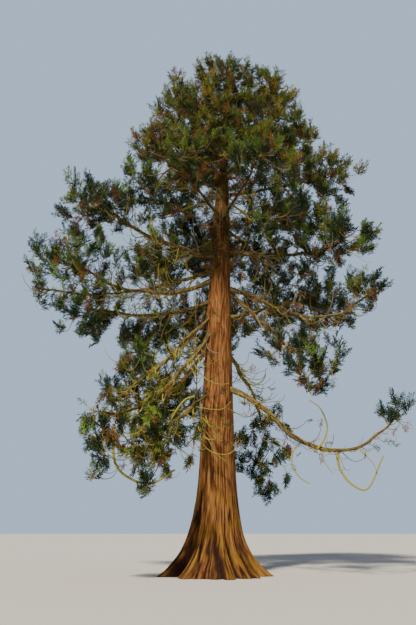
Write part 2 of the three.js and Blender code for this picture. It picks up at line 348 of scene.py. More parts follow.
@dataclass(frozen=True)
class BarkFinish:
    """Bark with dark furrows, fibres, pale plates, a green tint low down and painted shade of the crown high
    up.

    The relief of each piece is stored on its mesh as the attribute furrow: 0 deep in a furrow, 1 on a ridge.
    On the trunk it also holds painted shade in the clefts between the toes and in the great furrow.
    """

    name: str
    furrow: Colour
    middle: Colour
    ridge: Colour
    pale: Colour
    low: Colour
    low_to: float
    # high: painted shade of the crown, multiplied over the bark from high_from up
    high: Colour
    high_from: float
    fineness: float
    stretch: float
    bump: float
    steps: tuple[float, float, float, float] = (0.08, 0.42, 0.72, 0.95)
    fibre_share: float = 0.34
    relief_share: float = 0.9
    relief_start: float = -0.12
    low_share: float = 0.95
    crown_shade_share: float = 0.85
    crown_shade_fade: float = 2.5
    patch_fineness: float = 1.1
    patch_limits: tuple[float, float] = (0.38, 0.6)
    bump_distance: float = 0.03
    roughest: float = 0.98
    smoothest: float = 0.8
    highlights: float = 0.2

    def material(self, fibres: bpy.types.NodeTree) -> bpy.types.Material:
        """Builds the material.

        Args:
            fibres: the shared group of fibres.

        Returns:
            The material, whose colours, roughness and bump follow the relief.
        """
        made, nodes, shader = shaded(self.name, self.highlights)
        link = nodes.tree.links.new
        place = nodes.add("ShaderNodeTexCoord").outputs["Object"]
        squeezed = nodes.add("ShaderNodeMapping", {"Vector": place, "Scale": (1.0, 1.0, self.stretch)})
        inputs = {"Vector": squeezed.outputs["Vector"], "Fineness": self.fineness}
        grain = nodes.add("ShaderNodeGroup", inputs, node_tree=fibres)
        relief = nodes.add("ShaderNodeAttribute", attribute_name="furrow").outputs["Fac"]
        lowered = nodes.sum(relief, self.relief_share, self.relief_start)
        depth = nodes.sum(grain.outputs["Mask"], self.fibre_share, lowered)
        tone = nodes.add("ShaderNodeValToRGB", {"Fac": depth})
        ends = tone.color_ramp.elements
        ends[0].position, ends[0].color = self.steps[0], (*self.furrow, 1.0)
        ends[1].position, ends[1].color = self.steps[3], (*self.pale, 1.0)
        ends.new(self.steps[1]).color = (*self.middle, 1.0)
        ends.new(self.steps[2]).color = (*self.ridge, 1.0)
        link(self._tinted(nodes, tone.outputs["Color"], place, relief), shader.inputs["Base Color"])
        bump = {"Strength": self.bump, "Distance": self.bump_distance, "Height": grain.outputs["Height"]}
        link(nodes.add("ShaderNodeBump", bump).outputs["Normal"], shader.inputs["Normal"])
        rough = nodes.rise(depth, (0.0, 1.0), To_Min=self.roughest, To_Max=self.smoothest)
        link(rough, shader.inputs["Roughness"])
        return made

    def _tinted(
        self,
        nodes: Nodes,
        tone: bpy.types.NodeSocket,
        place: bpy.types.NodeSocket,
        relief: bpy.types.NodeSocket,
    ) -> bpy.types.NodeSocket:
        """Lays patches of the low tint over the ridges, fading upwards, and painted crown shade over the
        top.

        Args:
            nodes: the material's nodes.
            tone: the bark's colour.
            place: the place on the tree.
            relief: the relief.

        Returns:
            The tinted colour.
        """
        height = nodes.add("ShaderNodeSeparateXYZ", {0: place}).outputs["Z"]
        fade = nodes.rise(height, (0.0, self.low_to), To_Min=self.low_share, To_Max=0.0)
        patch_inputs = {"Vector": place, "Scale": self.patch_fineness, "Detail": 4.0}
        patches = nodes.add("ShaderNodeTexNoise", patch_inputs).outputs["Fac"]
        amount = nodes.product(nodes.product(fade, nodes.rise(patches, self.patch_limits)), relief)
        greener = nodes.add("ShaderNodeMix", {0: amount, 6: tone, 7: (*self.low, 1.0)}, data_type="RGBA")
        # Painted shade of the crown: the high colour is multiplied in from high_from up.
        rise = nodes.rise(height, (self.high_from, self.high_from + self.crown_shade_fade), To_Max=self.crown_shade_share)
        inputs = {0: rise, 6: greener.outputs[2], 7: (*self.high, 1.0)}
        return nodes.add("ShaderNodeMix", inputs, data_type="RGBA", blend_type="MULTIPLY").outputs[2]


@dataclass(frozen=True)
class Ridge:
    """One upright rib, or a furrow where its depth is below zero."""

    azimuth: float
    spread: float
    height: float
    depth: float

    def stand_out(self, angle: np.ndarray, z: np.ndarray) -> np.ndarray:
        """How far the rib stands out at some angles, in radians, and heights."""
        aside = (np.degrees(angle) - self.azimuth + 180.0) % 360.0 - 180.0
        return self.depth * np.exp(-((aside / self.spread) ** 2)) * (1.0 - smoothstep(z, 0.0, self.height))


@dataclass(frozen=True)
class Swirl:
    """Noise that closes on itself round the trunk: its strength, and its fineness round and along."""

    strength: float
    around: float
    along: float
    turned: float = 0.0

    def at(self, noise: Noise, angle: np.ndarray, z: np.ndarray) -> np.ndarray:
        """The noise at some angles, in radians, and heights."""
        turn = angle + self.turned
        ring = np.stack([np.cos(turn) * self.around, np.sin(turn) * self.around, z * self.along], axis=1)
        return self.strength * noise.at(ring + NOISE_SHIFT)


@dataclass(frozen=True)
class TrunkBark:
    """The relief of fibrous bark: toes at the foot, interlaced strands, fibres and flakes, with painted
    shade in the clefts.
    """

    seed: int = 11
    broad_bend: Swirl = Swirl(0.1, 1.6, 0.4)
    fine_bend: Swirl = Swirl(0.05, 5.0, 1.9)
    toe_count: int = 8
    toe_bend: Swirl = Swirl(2.0, 1.4, 0.2)
    toe_ripple: Swirl = Swirl(1.3, 3.4, 0.7)
    toe_share: Swirl = Swirl(1.2, 2.4, 0.2, 2.0)
    toe_least: float = 0.35
    toe_mean: float = 0.8
    toe_most: float = 1.2
    toe_sharpness: float = 3.0
    toe_fade: float = 0.9
    toe_depth: float = 0.7
    toe_rise: float = 0.04
    # Painted shade: how much the clefts between the toes are darkened, and how fast that rises towards the
    # foot.
    toe_painted_shade: float = 1.7
    toe_painted_shade_rise: float = 2.2
    strand: Swirl = Swirl(1.0, 6.8, 0.3, 9.0)
    strand_fineness: float = 6.5
    strand_depth: float = 0.06
    # Dark lines along the strands: bark grain, deepened with painted shade where the bark sinks.
    strand_grain_and_shade: tuple[float, float] = (0.2, 0.75)
    fibre: Swirl = Swirl(1.0, 12.0, 0.75, 4.0)
    fibre_fineness: float = 2.3
    fibre_depth: float = 0.016
    # Dark lines along the fibres: bark grain, deepened with painted shade where the bark sinks.
    fibre_grain_and_shade: tuple[float, float] = (0.3, 0.3)
    flake: Swirl = Swirl(1.0, 9.0, 1.9, 2.0)
    flake_pale: float = 0.5
    patch: Swirl = Swirl(0.35, 3.0, 0.5)
    flute: Swirl = Swirl(0.16, 1.6, 0.12)
    flute_fade: float = 3.0
    low_least: float = 0.3
    low_fade: float = 4.0
    right_cut: float = 0.14
    # Painted shade: how much the great furrow is darkened.
    groove_painted_shade: float = 1.1
    brightest: float = 1.05
    thin_radius: float = 1.2
    thin_least: float = 0.12

    @staticmethod
    def _lines(values: np.ndarray, fineness: float) -> np.ndarray:
        """Lines where noise crosses zero, thinner where the fineness is greater."""
        return smoothstep(1.0 - np.abs(values) * fineness, 0.3, 1.0)

    def relief(
        self, angle: np.ndarray, z: np.ndarray, radius: np.ndarray, groove: np.ndarray
    ) -> tuple[np.ndarray, np.ndarray]:
        """The bark's relief.

        Args:
            angle: angles about the axis, in radians.
            z: heights.
            radius: the trunk's mean radius there.
            groove: the deep furrow's share there, from 0 to 1, which the mask darkens as painted shade.

        Returns:
            How far the bark stands out in metres, and the furrow mask from 0 to 1, with painted shade in the
            clefts.
        """
        noise = Noise(self.seed)
        warp = angle + self.broad_bend.at(noise, angle, z) + self.fine_bend.at(noise, angle, z)
        foot = np.exp(-z / self.toe_fade)
        turn = self.toe_count * angle
        turn = turn + self.toe_bend.at(noise, angle, z) + self.toe_ripple.at(noise, angle, z)
        deep = np.clip(self.toe_mean + self.toe_share.at(noise, angle, z), self.toe_least, self.toe_most)
        toes = deep * (1.0 - np.abs(np.sin(turn))) ** self.toe_sharpness
        strands = self._lines(self.strand.at(noise, warp, z), self.strand_fineness)
        fibres = self._lines(self.fibre.at(noise, warp, z), self.fibre_fineness)
        flakes = self.flake.at(noise, warp, z)
        low = self.low_least + (1.0 - self.low_least) * np.exp(-z / self.low_fade)
        # The mask paints shade into the clefts between the toes and into the great furrow.
        mask = self.brightest - self.toe_painted_shade * toes * np.minimum(self.toe_painted_shade_rise * foot, 1.0)
        # The strands and fibres darken as grain, deepened with painted shade.
        mask = mask - (self.strand_grain_and_shade[0] + self.strand_grain_and_shade[1] * low) * strands
        mask = mask - (self.fibre_grain_and_shade[0] + self.fibre_grain_and_shade[1] * low) * fibres - self.groove_painted_shade * groove**2
        mask = np.clip(mask + self.flake_pale * flakes + self.patch.at(noise, warp, z), 0.0, 1.0)
        thin = np.clip(radius / self.thin_radius, self.thin_least, 1.0)
        right = np.maximum(np.cos(angle), 0.0) ** 2
        out = self.flute.at(noise, angle, z) * np.exp(-z / self.flute_fade)
        out = out + self.toe_depth * (self.toe_rise - toes) * foot - self.right_cut * right * foot
        out = out - thin * low * self.strand_depth * strands - thin * self.fibre_depth * (fibres - flakes)
        return out, mask


@dataclass
class Trunk:
    """The trunk, with its taper, lean and flare, under its bark."""

    height: float = 26.6
    radius_low: float = 0.93
    taper: float = 0.85
    taper_height: float = 27.0
    thinning: float = 0.38
    thinning_from: float = 17.5
    thinning_to: float = 20.5
    flare: float = 1.3
    flare_fade: float = 0.95
    lean: float = 0.62
    lean_height: float = 24.0
    rib_depth: float = 0.13
    rib_fade: float = 1.3
    ribs: tuple[tuple[float, float, float], ...] = ((9.0, 40.0, 0.6), (5.0, 15.0, 0.4))
    buttress: Ridge = Ridge(187.0, 17.0, 4.2, 0.2)
    furrow: Ridge = Ridge(211.0, 7.0, 6.5, -0.36)
    bark: TrunkBark = TrunkBark()
    around: int = 400
    rings: int = 238
    even_rings: float = 0.42
    low_rings: float = 0.58
    low_crowding: float = 2.2
    tip_length: float = 1.5
    tip_thinning: float = 0.6

    def axis_x(self, z: np.ndarray) -> np.ndarray:
        """Where the leaning axis is at some heights."""
        return self.lean * (z / self.lean_height) ** 2

    def radius(self, z: np.ndarray) -> np.ndarray:
        """The mean radius at some heights."""
        taper = np.maximum(1.0 - z / self.taper_height, 0.0) ** self.taper
        thinning = 1.0 - self.thinning * smoothstep(z, self.thinning_from, self.thinning_to)
        return self.radius_low * taper * thinning + self.flare * np.exp(-z / self.flare_fade)

    def surface(self, angle: np.ndarray, z: np.ndarray) -> np.ndarray:
        """The radius with the buttresses, at some angles and heights."""
        fade = self.rib_depth * np.exp(-z / self.rib_fade)
        waves = sum(share * np.cos(count * angle + math.radians(phase)) for count, phase, share in self.ribs)
        great = self.buttress.stand_out(angle, z) + self.furrow.stand_out(angle, z)
        return self.radius(z) * (1.0 + fade * waves) + great

    def build(self) -> bpy.types.Object:
        """Builds the trunk's mesh with its bark.

        Returns:
            The piece, with the furrow mask stored on it.
        """
        part = np.linspace(0.0, 1.0, self.rings)
        heights = self.height * (self.even_rings * part + self.low_rings * part**self.low_crowding)
        turn = np.linspace(0.0, FULL_TURN, self.around, endpoint=False)
        z, angle = (grid.ravel() for grid in np.meshgrid(heights, turn, indexing="ij"))
        # The great furrow's share, used only to paint shade into it on the mask.
        groove = self.furrow.stand_out(angle, z) / self.furrow.depth
        out, mask = self.bark.relief(angle, z, self.radius(z), groove)
        tip = 1.0 - smoothstep(z, self.height - self.tip_length, self.height) * self.tip_thinning
        radius = np.maximum(self.surface(angle, z) + out, 0.01) * tip
        points = np.stack([self.axis_x(z) + radius * np.cos(angle), radius * np.sin(angle), z], axis=1)
        made = tube_object("trunk_bark", points, self.rings, self.around)
        store(made.data, "furrow", mask)
        return made


@dataclass
class Bough:
    """One main limb: a cubic rise over an even run outwards, turned a little on the way.

    Angles are in degrees: azimuth and sweep turn it about the trunk, and leaves and arrives are its slopes
    at its root and at the end that the frame gives it. The rest is in metres, but grows_on is a part of its
    run.
    """

    name: str
    azimuth: float
    sweep: float
    root_height: float
    leaves: float
    reach: float
    tip_height: float
    arrives: float
    root_radius: float
    tip_radius: float
    grows_on: float = 1.25
    nodes: list[str] = field(default_factory=list)
    start: float = 0.0
    collar: float = 0.45
    collar_part: float = 0.09
    end_taper: float = 0.7

    def middle(self, part: np.ndarray, trunk: Trunk) -> np.ndarray:
        """Points on the bough's middle.

        Args:
            part: parts of its length, where 1 is the frame's end and more grows on past it.
            trunk: the trunk that it leaves.

        Returns:
            One place in each row.
        """
        run = self.reach - self.start
        inner = np.minimum(part, 1.0)
        square, cube = inner**2, inner**3
        rise_root = math.tan(math.radians(self.leaves)) * run
        rise_tip = math.tan(math.radians(self.arrives)) * run
        z = self.root_height * (2 * cube - 3 * square + 1) + self.tip_height * (3 * square - 2 * cube)
        z = z + rise_root * (cube - 2 * square + inner) + rise_tip * (cube - square)
        z = z + rise_tip * (part - inner)
        out = self.start + run * part
        angle = np.radians(self.azimuth + self.sweep * part**2)
        foot = trunk.axis_x(np.array(self.root_height))
        return np.stack([foot + out * np.cos(angle), out * np.sin(angle), z], axis=-1)

    def path(self, trunk: Trunk, rings: int) -> tuple[np.ndarray, np.ndarray]:
        """The bough's middle and its radius, from inside the trunk to its thin end.

        Args:
            trunk: the trunk that it leaves.
            rings: how many points there are.

        Returns:
            Points and radii in metres.
        """
        part = np.linspace(0.0, self.grows_on, rings)
        inner = np.minimum(part, 1.0)
        radius = self.root_radius + (self.tip_radius - self.root_radius) * inner
        if self.start < 1.0:
            radius = radius * (1.0 + self.collar * np.exp(-part / self.collar_part))
        beyond = np.clip((part - 1.0) / max(self.grows_on - 1.0, 0.01), 0.0, 1.0)
        return self.middle(part, trunk), radius * (1.0 - self.end_taper * beyond)


def boughs(trunk: Trunk) -> list[Bough]:
    """The limbs of the frame.

    Args:
        trunk: the trunk, which says where each limb starts inside it.

    Returns:
        One bough for each limb, with the nodes that it stands for.
    """
    made = [
        Bough("left_upper", 212, -2, 14.5, 3, 6.4, 15.9, 34, 0.13, 0.06, 1.1),
        Bough("left_mid", 206, -5, 13.5, -33, 6.6, 13.0, 36, 0.12, 0.05),
        Bough("left_far", 180, 0, 14.0, -20, 8.9, 13.0, 12, 0.09, 0.04, 1.05),
        Bough("left_lower", 187, -1, 12.4, -30, 5.4, 11.6, 10, 0.1, 0.05, 1.2),
        Bough("left_descending", 207, 8, 11.6, -44, 5.2, 6.9, -38, 0.09, 0.04, 1.0),
        Bough("left_hanging", 219, 6, 11.1, -56, 6.3, 6.05, -3, 0.1, 0.045, 1.08),
        Bough("left_short", 216, 18, 7.9, -36, 3.4, 5.6, -38, 0.08, 0.045, 1.2),
        Bough("front_hanging", 233, 6, 7.1, -38, 1.9, 5.5, -66, 0.07, 0.045, 1.1),
        Bough("right_arm_inner", 337, 3, 8.0, -8, 4.9, 4.95, -14, 0.13, 0.085, 1.0),
        Bough("right_stub", 358, 9, 11.4, 10, 4.4, 12.6, 18, 0.09, 0.05),
        Bough("right_descending", 341, -9, 13.0, -42, 4.4, 8.7, -40, 0.1, 0.05, 1.1),
        Bough("right_long", 350, -12, 13.0, -12, 6.9, 11.6, 40, 0.11, 0.045, 1.08),
        Bough("right_drooping", 22, 18, 16.2, -14, 3.6, 14.0, -44, 0.08, 0.045, 1.1),
        Bough("right_mid", 350, -9, 15.1, -18, 5.8, 14.6, 14, 0.1, 0.045, 1.15),
        Bough("left_high", 188, 0, 18.5, 20, 3.8, 21.6, 55, 0.08, 0.045, 1.1),
        Bough("right_high", 356, 2, 18.2, 4, 5.0, 19.1, 20, 0.08, 0.045, 1.2),
        Bough("left_back", 150, -6, 15.6, -8, 3.9, 15.4, 4, 0.08, 0.045, 1.3),
        Bough("front_left_high", 240, -6, 16.9, 6, 3.9, 17.9, 22, 0.08, 0.045, 1.2),
        Bough("front_right_high", 286, 4, 16.6, 6, 3.8, 17.4, 20, 0.08, 0.045, 1.2),
        Bough("back_right_low", 55, 8, 10.2, -30, 5.0, 7.2, -36, 0.11, 0.05, 1.1),
        Bough("back_left_low", 126, 4, 10.6, -36, 5.0, 8.5, 0, 0.11, 0.05, 1.2),
        Bough("back_mid", 92, 4, 13.2, -20, 5.2, 13.0, 22, 0.12, 0.05, 1.2),
        Bough("back_high", 104, 4, 17.0, 0, 4.2, 17.7, 20, 0.09, 0.045, 1.2),
    ]
    for bough in made:
        bough.nodes = [bough.name + "_bough"]
        bough.start = 0.35 * float(trunk.radius(np.array(bough.root_height)))
    return made


@dataclass
class Limb:
    """A limb's bark mesh along a path, with flakes, wrinkles and knobs."""

    name: str
    points: np.ndarray
    radii: np.ndarray
    nodes: list[str]
    sides: int = 18
    wander: float = 0.22
    wander_fineness: float = 0.9
    wander_from: tuple[float, float] = (0.8, 2.2)
    flake_fineness: tuple[float, float] = (2.6, 3.2)
    swell_fineness: tuple[float, float] = (0.6, 1.3)
    swell: float = 0.34
    flaking: float = 0.16
    ground: float = 0.75
    flake_dark: float = 2.2
    swell_pale: float = 0.5
    lift: float = 0.2
    level: float = 0.6

    def directions(self) -> np.ndarray:
        """The way of the limb at each point."""
        return unit(np.gradient(self.points, axis=0))

    def lengths(self) -> np.ndarray:
        """How far along the limb each point is."""
        return np.cumsum(np.linalg.norm(np.gradient(self.points, axis=0), axis=1))

    def build(self) -> bpy.types.Object:
        """Builds the limb.

        Returns:
            The piece, with the furrow mask stored on it.
        """
        rings = len(self.points)
        ahead = self.directions()
        side = unit(np.cross(UP, ahead))
        above = np.cross(ahead, side)
        turn = np.linspace(0.0, FULL_TURN, self.sides, endpoint=False)
        length = self.lengths()
        along, angle = (grid.ravel() for grid in np.meshgrid(length, turn, indexing="ij"))
        ring = np.repeat(np.arange(rings), self.sides)
        noise = Noise(sum(map(ord, self.name)))

        def around(fineness: tuple[float, float], shift: float) -> np.ndarray:
            """Noise on the limb's surface, by its fineness round the limb and along it."""
            wide, long = fineness
            across = [np.cos(angle) * wide, np.sin(angle) * wide]
            return noise.at(np.stack([*across, along * long + shift], axis=1))

        still = np.zeros(rings)
        line = length * self.wander_fineness
        strays = [noise.at(np.stack([line, still + k, still], axis=1)) for k in (1.5, 5.5)]
        fade = smoothstep(length, *self.wander_from)[:, None] * self.wander
        middle = self.points + fade * (strays[0][:, None] * side + strays[1][:, None] * above)
        flakes = around(self.flake_fineness, 0.0)
        swell = around(self.swell_fineness, 40.0)
        mask = self.ground - self.flake_dark * np.abs(flakes) + self.swell_pale * swell + self.lift
        mask = np.clip(mask, 0.0, 1.0)
        radius = self.radii[ring] * (1.0 + self.swell * swell + self.flaking * (mask - self.level))
        across = np.cos(angle)[:, None] * side[ring] + np.sin(angle)[:, None] * above[ring]
        made = tube_object(self.name, middle[ring] + radius[:, None] * across, rings, self.sides)
        store(made.data, "furrow", mask)
        return made


@dataclass
class Strand:
    """One branch or twig: points, and the radius at each."""

    points: np.ndarray
    radii: np.ndarray


class Wood(Enum):
    """Tints of branches and twigs."""

    MOSS = PlainFinish("wood_moss", (0.31, 0.285, 0.042), 0.8)
    OLIVE = PlainFinish("wood_olive", (0.26, 0.23, 0.055), 0.8)
    BROWN = PlainFinish("wood_brown", (0.2, 0.135, 0.07), 0.85)
    GREY = PlainFinish("wood_grey", (0.25, 0.21, 0.135), 0.85)
    RUST = PlainFinish("wood_rust", (0.24, 0.1, 0.04), 0.8)


class Leaf(Enum):
    """Tints of sprays."""

    # Painted sunlight: a lit green for sprays that face the sun, most at the left's tips.
    BRIGHT = PlainFinish("leaf_bright", (0.17, 0.27, 0.034))
    MIDDLE = PlainFinish("leaf_middle", (0.088, 0.15, 0.02))
    # Painted shade: a near-black green for sprays facing away from the sun, sprays deep in a plume, and
    # shoots on the upper trunk.
    DEEP = PlainFinish("leaf_deep", (0.017, 0.034, 0.009))
    BLUE = PlainFinish("leaf_blue", (0.022, 0.05, 0.022))
    OLIVE = PlainFinish("leaf_olive", (0.155, 0.17, 0.018))
    GOLD = PlainFinish("leaf_gold", (0.26, 0.2, 0.024))
    ORANGE = PlainFinish("leaf_orange", (0.25, 0.115, 0.032), 0.75)
    BROWN = PlainFinish("leaf_brown", (0.17, 0.075, 0.028), 0.8)


class Recipe(NodeGroup):
    """A geometry node tree on a carrier mesh, whose result is taken as a plain mesh."""

    def __init__(self, name: str, inputs: dict[str, tuple[str, object]]) -> None:
        """Starts a tree.

        Args:
            name: the tree's name.
            inputs: each input's socket type and first value.
        """
        kind = "NodeSocketGeometry"
        super().__init__(name, "GeometryNodeTree", {"Geometry": (kind, None), **inputs}, {"Geometry": kind})

    def named(self, kind: str, name: str) -> bpy.types.NodeSocket:
        """The value of a named attribute of the carrier, by its data type and name."""
        made = self.add("GeometryNodeInputNamedAttribute", data_type=kind)
        made.inputs["Name"].default_value = name
        return made.outputs["Attribute"]

    def finish_with(self, geometry: bpy.types.NodeSocket) -> None:
        """Ends the tree with its result's instances made real, and the finish set."""
        real = self.add("GeometryNodeRealizeInstances", {"Geometry": geometry})
        inputs = {"Geometry": real.outputs["Geometry"], "Material": self.inside["Finish"]}
        self.give(Geometry=self.add("GeometryNodeSetMaterial", inputs).outputs["Geometry"])

    def make(self, name: str, carrier: bpy.types.Mesh, **values: object) -> bpy.types.Object:
        """Runs the tree on a carrier mesh.

        Args:
            name: the finished object's name.
            carrier: the mesh that holds the points and attributes.
            values: the inputs' values, by their names.

        Returns:
            A new object with the result as its own mesh.
        """
        holder = bpy.data.objects.new(name + "_carrier", carrier)
        bpy.context.scene.collection.objects.link(holder)
        modifier = holder.modifiers.new("nodes", "NODES")
        modifier.node_group = self.tree
        for label, value in values.items():
            modifier[self.sockets[label]] = value
        evaluated = holder.evaluated_get(bpy.context.evaluated_depsgraph_get())
        mesh = bpy.data.meshes.new_from_object(evaluated)
        holder.modifiers.remove(modifier)
        bpy.data.objects.remove(holder)
        mesh.name = name
        for used in ("heading", "size", "template", "thickness"):
            if used in mesh.attributes:
                mesh.attributes.remove(mesh.attributes[used])
        made = bpy.data.objects.new(name, mesh)
        bpy.context.scene.collection.objects.link(made)
        return made


class TwigMaker:
    """Lays a closed tube along each strand."""

    def __init__(self) -> None:
        """Builds the node tree."""
        inputs = {"Sides": ("NodeSocketInt", 4), "Finish": ("NodeSocketMaterial", None)}
        self.recipe = Recipe("strands_to_tubes", inputs)
        add, inside = self.recipe.add, self.recipe.inside
        ring = add("GeometryNodeCurvePrimitiveCircle", {"Resolution": inside["Sides"], "Radius": 1.0})
        curve = add("GeometryNodeMeshToCurve", {"Mesh": inside["Geometry"]})
        tube = {
            "Curve": curve.outputs["Curve"],
            "Profile Curve": ring.outputs["Curve"],
            "Scale": self.recipe.named("FLOAT", "thickness"),
            "Fill Caps": True,
        }
        self.recipe.finish_with(add("GeometryNodeCurveToMesh", tube).outputs["Mesh"])

    def make(
        self, name: str, strands: list[Strand], sides: int, finish: bpy.types.Material
    ) -> bpy.types.Object:
        """Makes one piece of many strands.

        Args:
            name: the piece's name.
            strands: the strands in it.
            sides: how many sides each tube has.
            finish: its material.

        Returns:
            The piece.
        """
        points = np.concatenate([s.points for s in strands])
        lengths = [len(s.points) for s in strands]
        first = np.concatenate([[0], np.cumsum(lengths)[:-1]])
        edges = [
            np.stack([np.arange(f, f + n - 1), np.arange(f + 1, f + n)], axis=1)
            for f, n in zip(first, lengths)
        ]
        carrier = bpy.data.meshes.new(name)
        carrier.from_pydata(points.tolist(), np.concatenate(edges).tolist(), [])
        store(carrier, "thickness", np.concatenate([s.radii for s in strands]))
        return self.recipe.make(name, carrier, Sides=sides, Finish=finish)


@dataclass
class SprayPattern:
    """One spray: a main shoot that curves up, side shoots, and slender blades in their own outline."""

    seed: int
    length: float = 0.4
    width: float = 0.02
    rise: float = 0.06
    side_shoots: int = 8
    side_from: float = 0.05
    side_span: float = 0.85
    side_length: float = 0.2
    side_width: float = 0.016
    open_angle: float = 56.0
    blade_length: float = 0.118
    blade_width: float = 0.032
    blade_spots: tuple[float, ...] = (0.2, 0.42, 0.64, 0.82)
    blade_spread: float = 0.62
    blade_lift: float = 0.2
    end_spots: tuple[float, ...] = (0.75, 0.92)

    def _axis(self, part: float) -> np.ndarray:
        """A place on the main shoot."""
        return np.array([0.0, self.length * part, self.rise * part**2])

    def _blade(
        self, foot: np.ndarray, way: np.ndarray, size: tuple[float, float], roll: float
    ) -> np.ndarray:
        """The three corners of one blade.

        Args:
            foot: where it starts.
            way: where it points.
            size: its length, and its width at the foot.
            roll: how far it is turned about its own length.

        Returns:
            The corners, the tip last.
        """
        aside = unit(np.cross(way, UP + 0.3))
        across = (math.cos(roll) * aside + math.sin(roll) * np.cross(aside, way)) * size[1] / 2.0
        return np.stack([foot - across, foot + across, foot + way * size[0]])

    def _side_shoot(self, rng: np.random.Generator, index: int) -> list[np.ndarray]:
        """The blades of one side shoot, by its number."""
        part = self.side_from + self.side_span * (index + rng.uniform(-0.3, 0.3)) / self.side_shoots
        part = max(part, 0.02)
        roll = math.pi * (index % 2) + rng.uniform(-0.9, 0.9)
        tilt = math.radians(self.open_angle * (1.0 - 0.45 * part) + rng.uniform(-9.0, 9.0))
        aside = np.array([math.cos(roll), 0.0, math.sin(roll)])
        way = math.cos(tilt) * np.array([0.0, 1.0, 0.0]) + math.sin(tilt) * aside
        long = self.side_length * (1.15 - 0.65 * part) * rng.uniform(0.8, 1.2)
        root = self._axis(part)
        blades = [self._blade(root, way, (long, self.side_width), rng.uniform(0.0, math.pi))]
        last = len(self.blade_spots) - 1
        for step, spot in enumerate(self.blade_spots):
            spread = 0.0 if step == last else self.blade_spread * (-1.0) ** step
            across = unit(np.cross(way, UP + rng.normal(size=3) * 0.5))
            heading = unit(way + spread * across + self.blade_lift * UP)
            size = (self.blade_length * rng.uniform(0.75, 1.2), self.blade_width)
            blades.append(self._blade(root + way * long * spot, heading, size, rng.uniform(0.0, math.pi)))
        return blades

    def build(self, name: str) -> bpy.types.Object:
        """Builds the spray as an unlinked object with a name, along +Y from the origin."""
        rng = np.random.default_rng(self.seed)
        ahead = unit(self._axis(1.0))
        size = (self.length, self.width)
        blades = [self._blade(np.zeros(3), ahead, size, roll) for roll in (0.0, math.pi / 2)]
        for index in range(self.side_shoots):
            blades.extend(self._side_shoot(rng, index))
        for part in self.end_spots:
            heading = unit(ahead + rng.normal(size=3) * 0.35)
            size = (self.blade_length, self.blade_width)
            blades.append(self._blade(self._axis(part), heading, size, rng.uniform(0.0, math.pi)))
        mesh = bpy.data.meshes.new(name)
        faces = np.arange(3 * len(blades)).reshape(-1, 3)
        mesh.from_pydata(np.concatenate(blades).tolist(), [], faces.tolist())
        return bpy.data.objects.new(name, mesh)


@dataclass
class ConePattern:
    """One cone: a knobbly egg, from a small sphere."""

    length: float = 0.1
    width: float = 0.065
    knobs: float = 0.28

    def build(self, name: str) -> bpy.types.Object:
        """Builds the cone as an unlinked object, along +Y from the origin."""
        shape = bmesh.new()
        bmesh.ops.create_icosphere(shape, subdivisions=1, radius=0.5)
        for index, vertex in enumerate(shape.verts):
            wide = self.width * (2.0 + self.knobs * math.cos(5.0 * index))
            x, y, z = vertex.co
            vertex.co = Vector((x * wide, (y + 0.5) * self.length, z * wide))
        mesh = bpy.data.meshes.new(name)
        shape.to_mesh(mesh)
        shape.free()
        return bpy.data.objects.new(name, mesh)


@dataclass
class Sites:
    """Places, headings and sizes for many small repeated shapes."""

    places: list[np.ndarray] = field(default_factory=list)
    ways: list[np.ndarray] = field(default_factory=list)
    rolls: list[float] = field(default_factory=list)
    sizes: list[float] = field(default_factory=list)

    def add(self, place: np.ndarray, way: np.ndarray, roll: float, size: float) -> None:
        """Adds one place, with the way the shape points, its roll and its size."""
        self.places.append(place)
        self.ways.append(way)
        self.rolls.append(roll)
        self.sizes.append(size)

    def quaternions(self) -> np.ndarray:
        """Turns that take +Y to each heading, with +Z as far up as it can be before the roll.

        Returns:
            One quaternion in each row, as w, x, y, z.
        """
        ahead = unit(np.array(self.ways))
        side = unit(np.cross(ahead, UP + 1e-3))
        above = np.cross(side, ahead)
        cos, sin = np.cos(self.rolls)[:, None], np.sin(self.rolls)[:, None]
        side, above = side * cos + above * sin, above * cos - side * sin
        m = np.stack([side, ahead, above], axis=2)
        w = np.sqrt(np.maximum(1.0 + m[:, 0, 0] + m[:, 1, 1] + m[:, 2, 2], 1e-6)) / 2.0
        x = (m[:, 2, 1] - m[:, 1, 2]) / (4.0 * w)
        y = (m[:, 0, 2] - m[:, 2, 0]) / (4.0 * w)
        z = (m[:, 1, 0] - m[:, 0, 1]) / (4.0 * w)
        return unit(np.stack([w, x, y, z], axis=1))

    def part(self, first: int, last: int) -> "Sites":
        """The places from one number to another."""
        cut = slice(first, last)
        return Sites(self.places[cut], self.ways[cut], self.rolls[cut], self.sizes[cut])


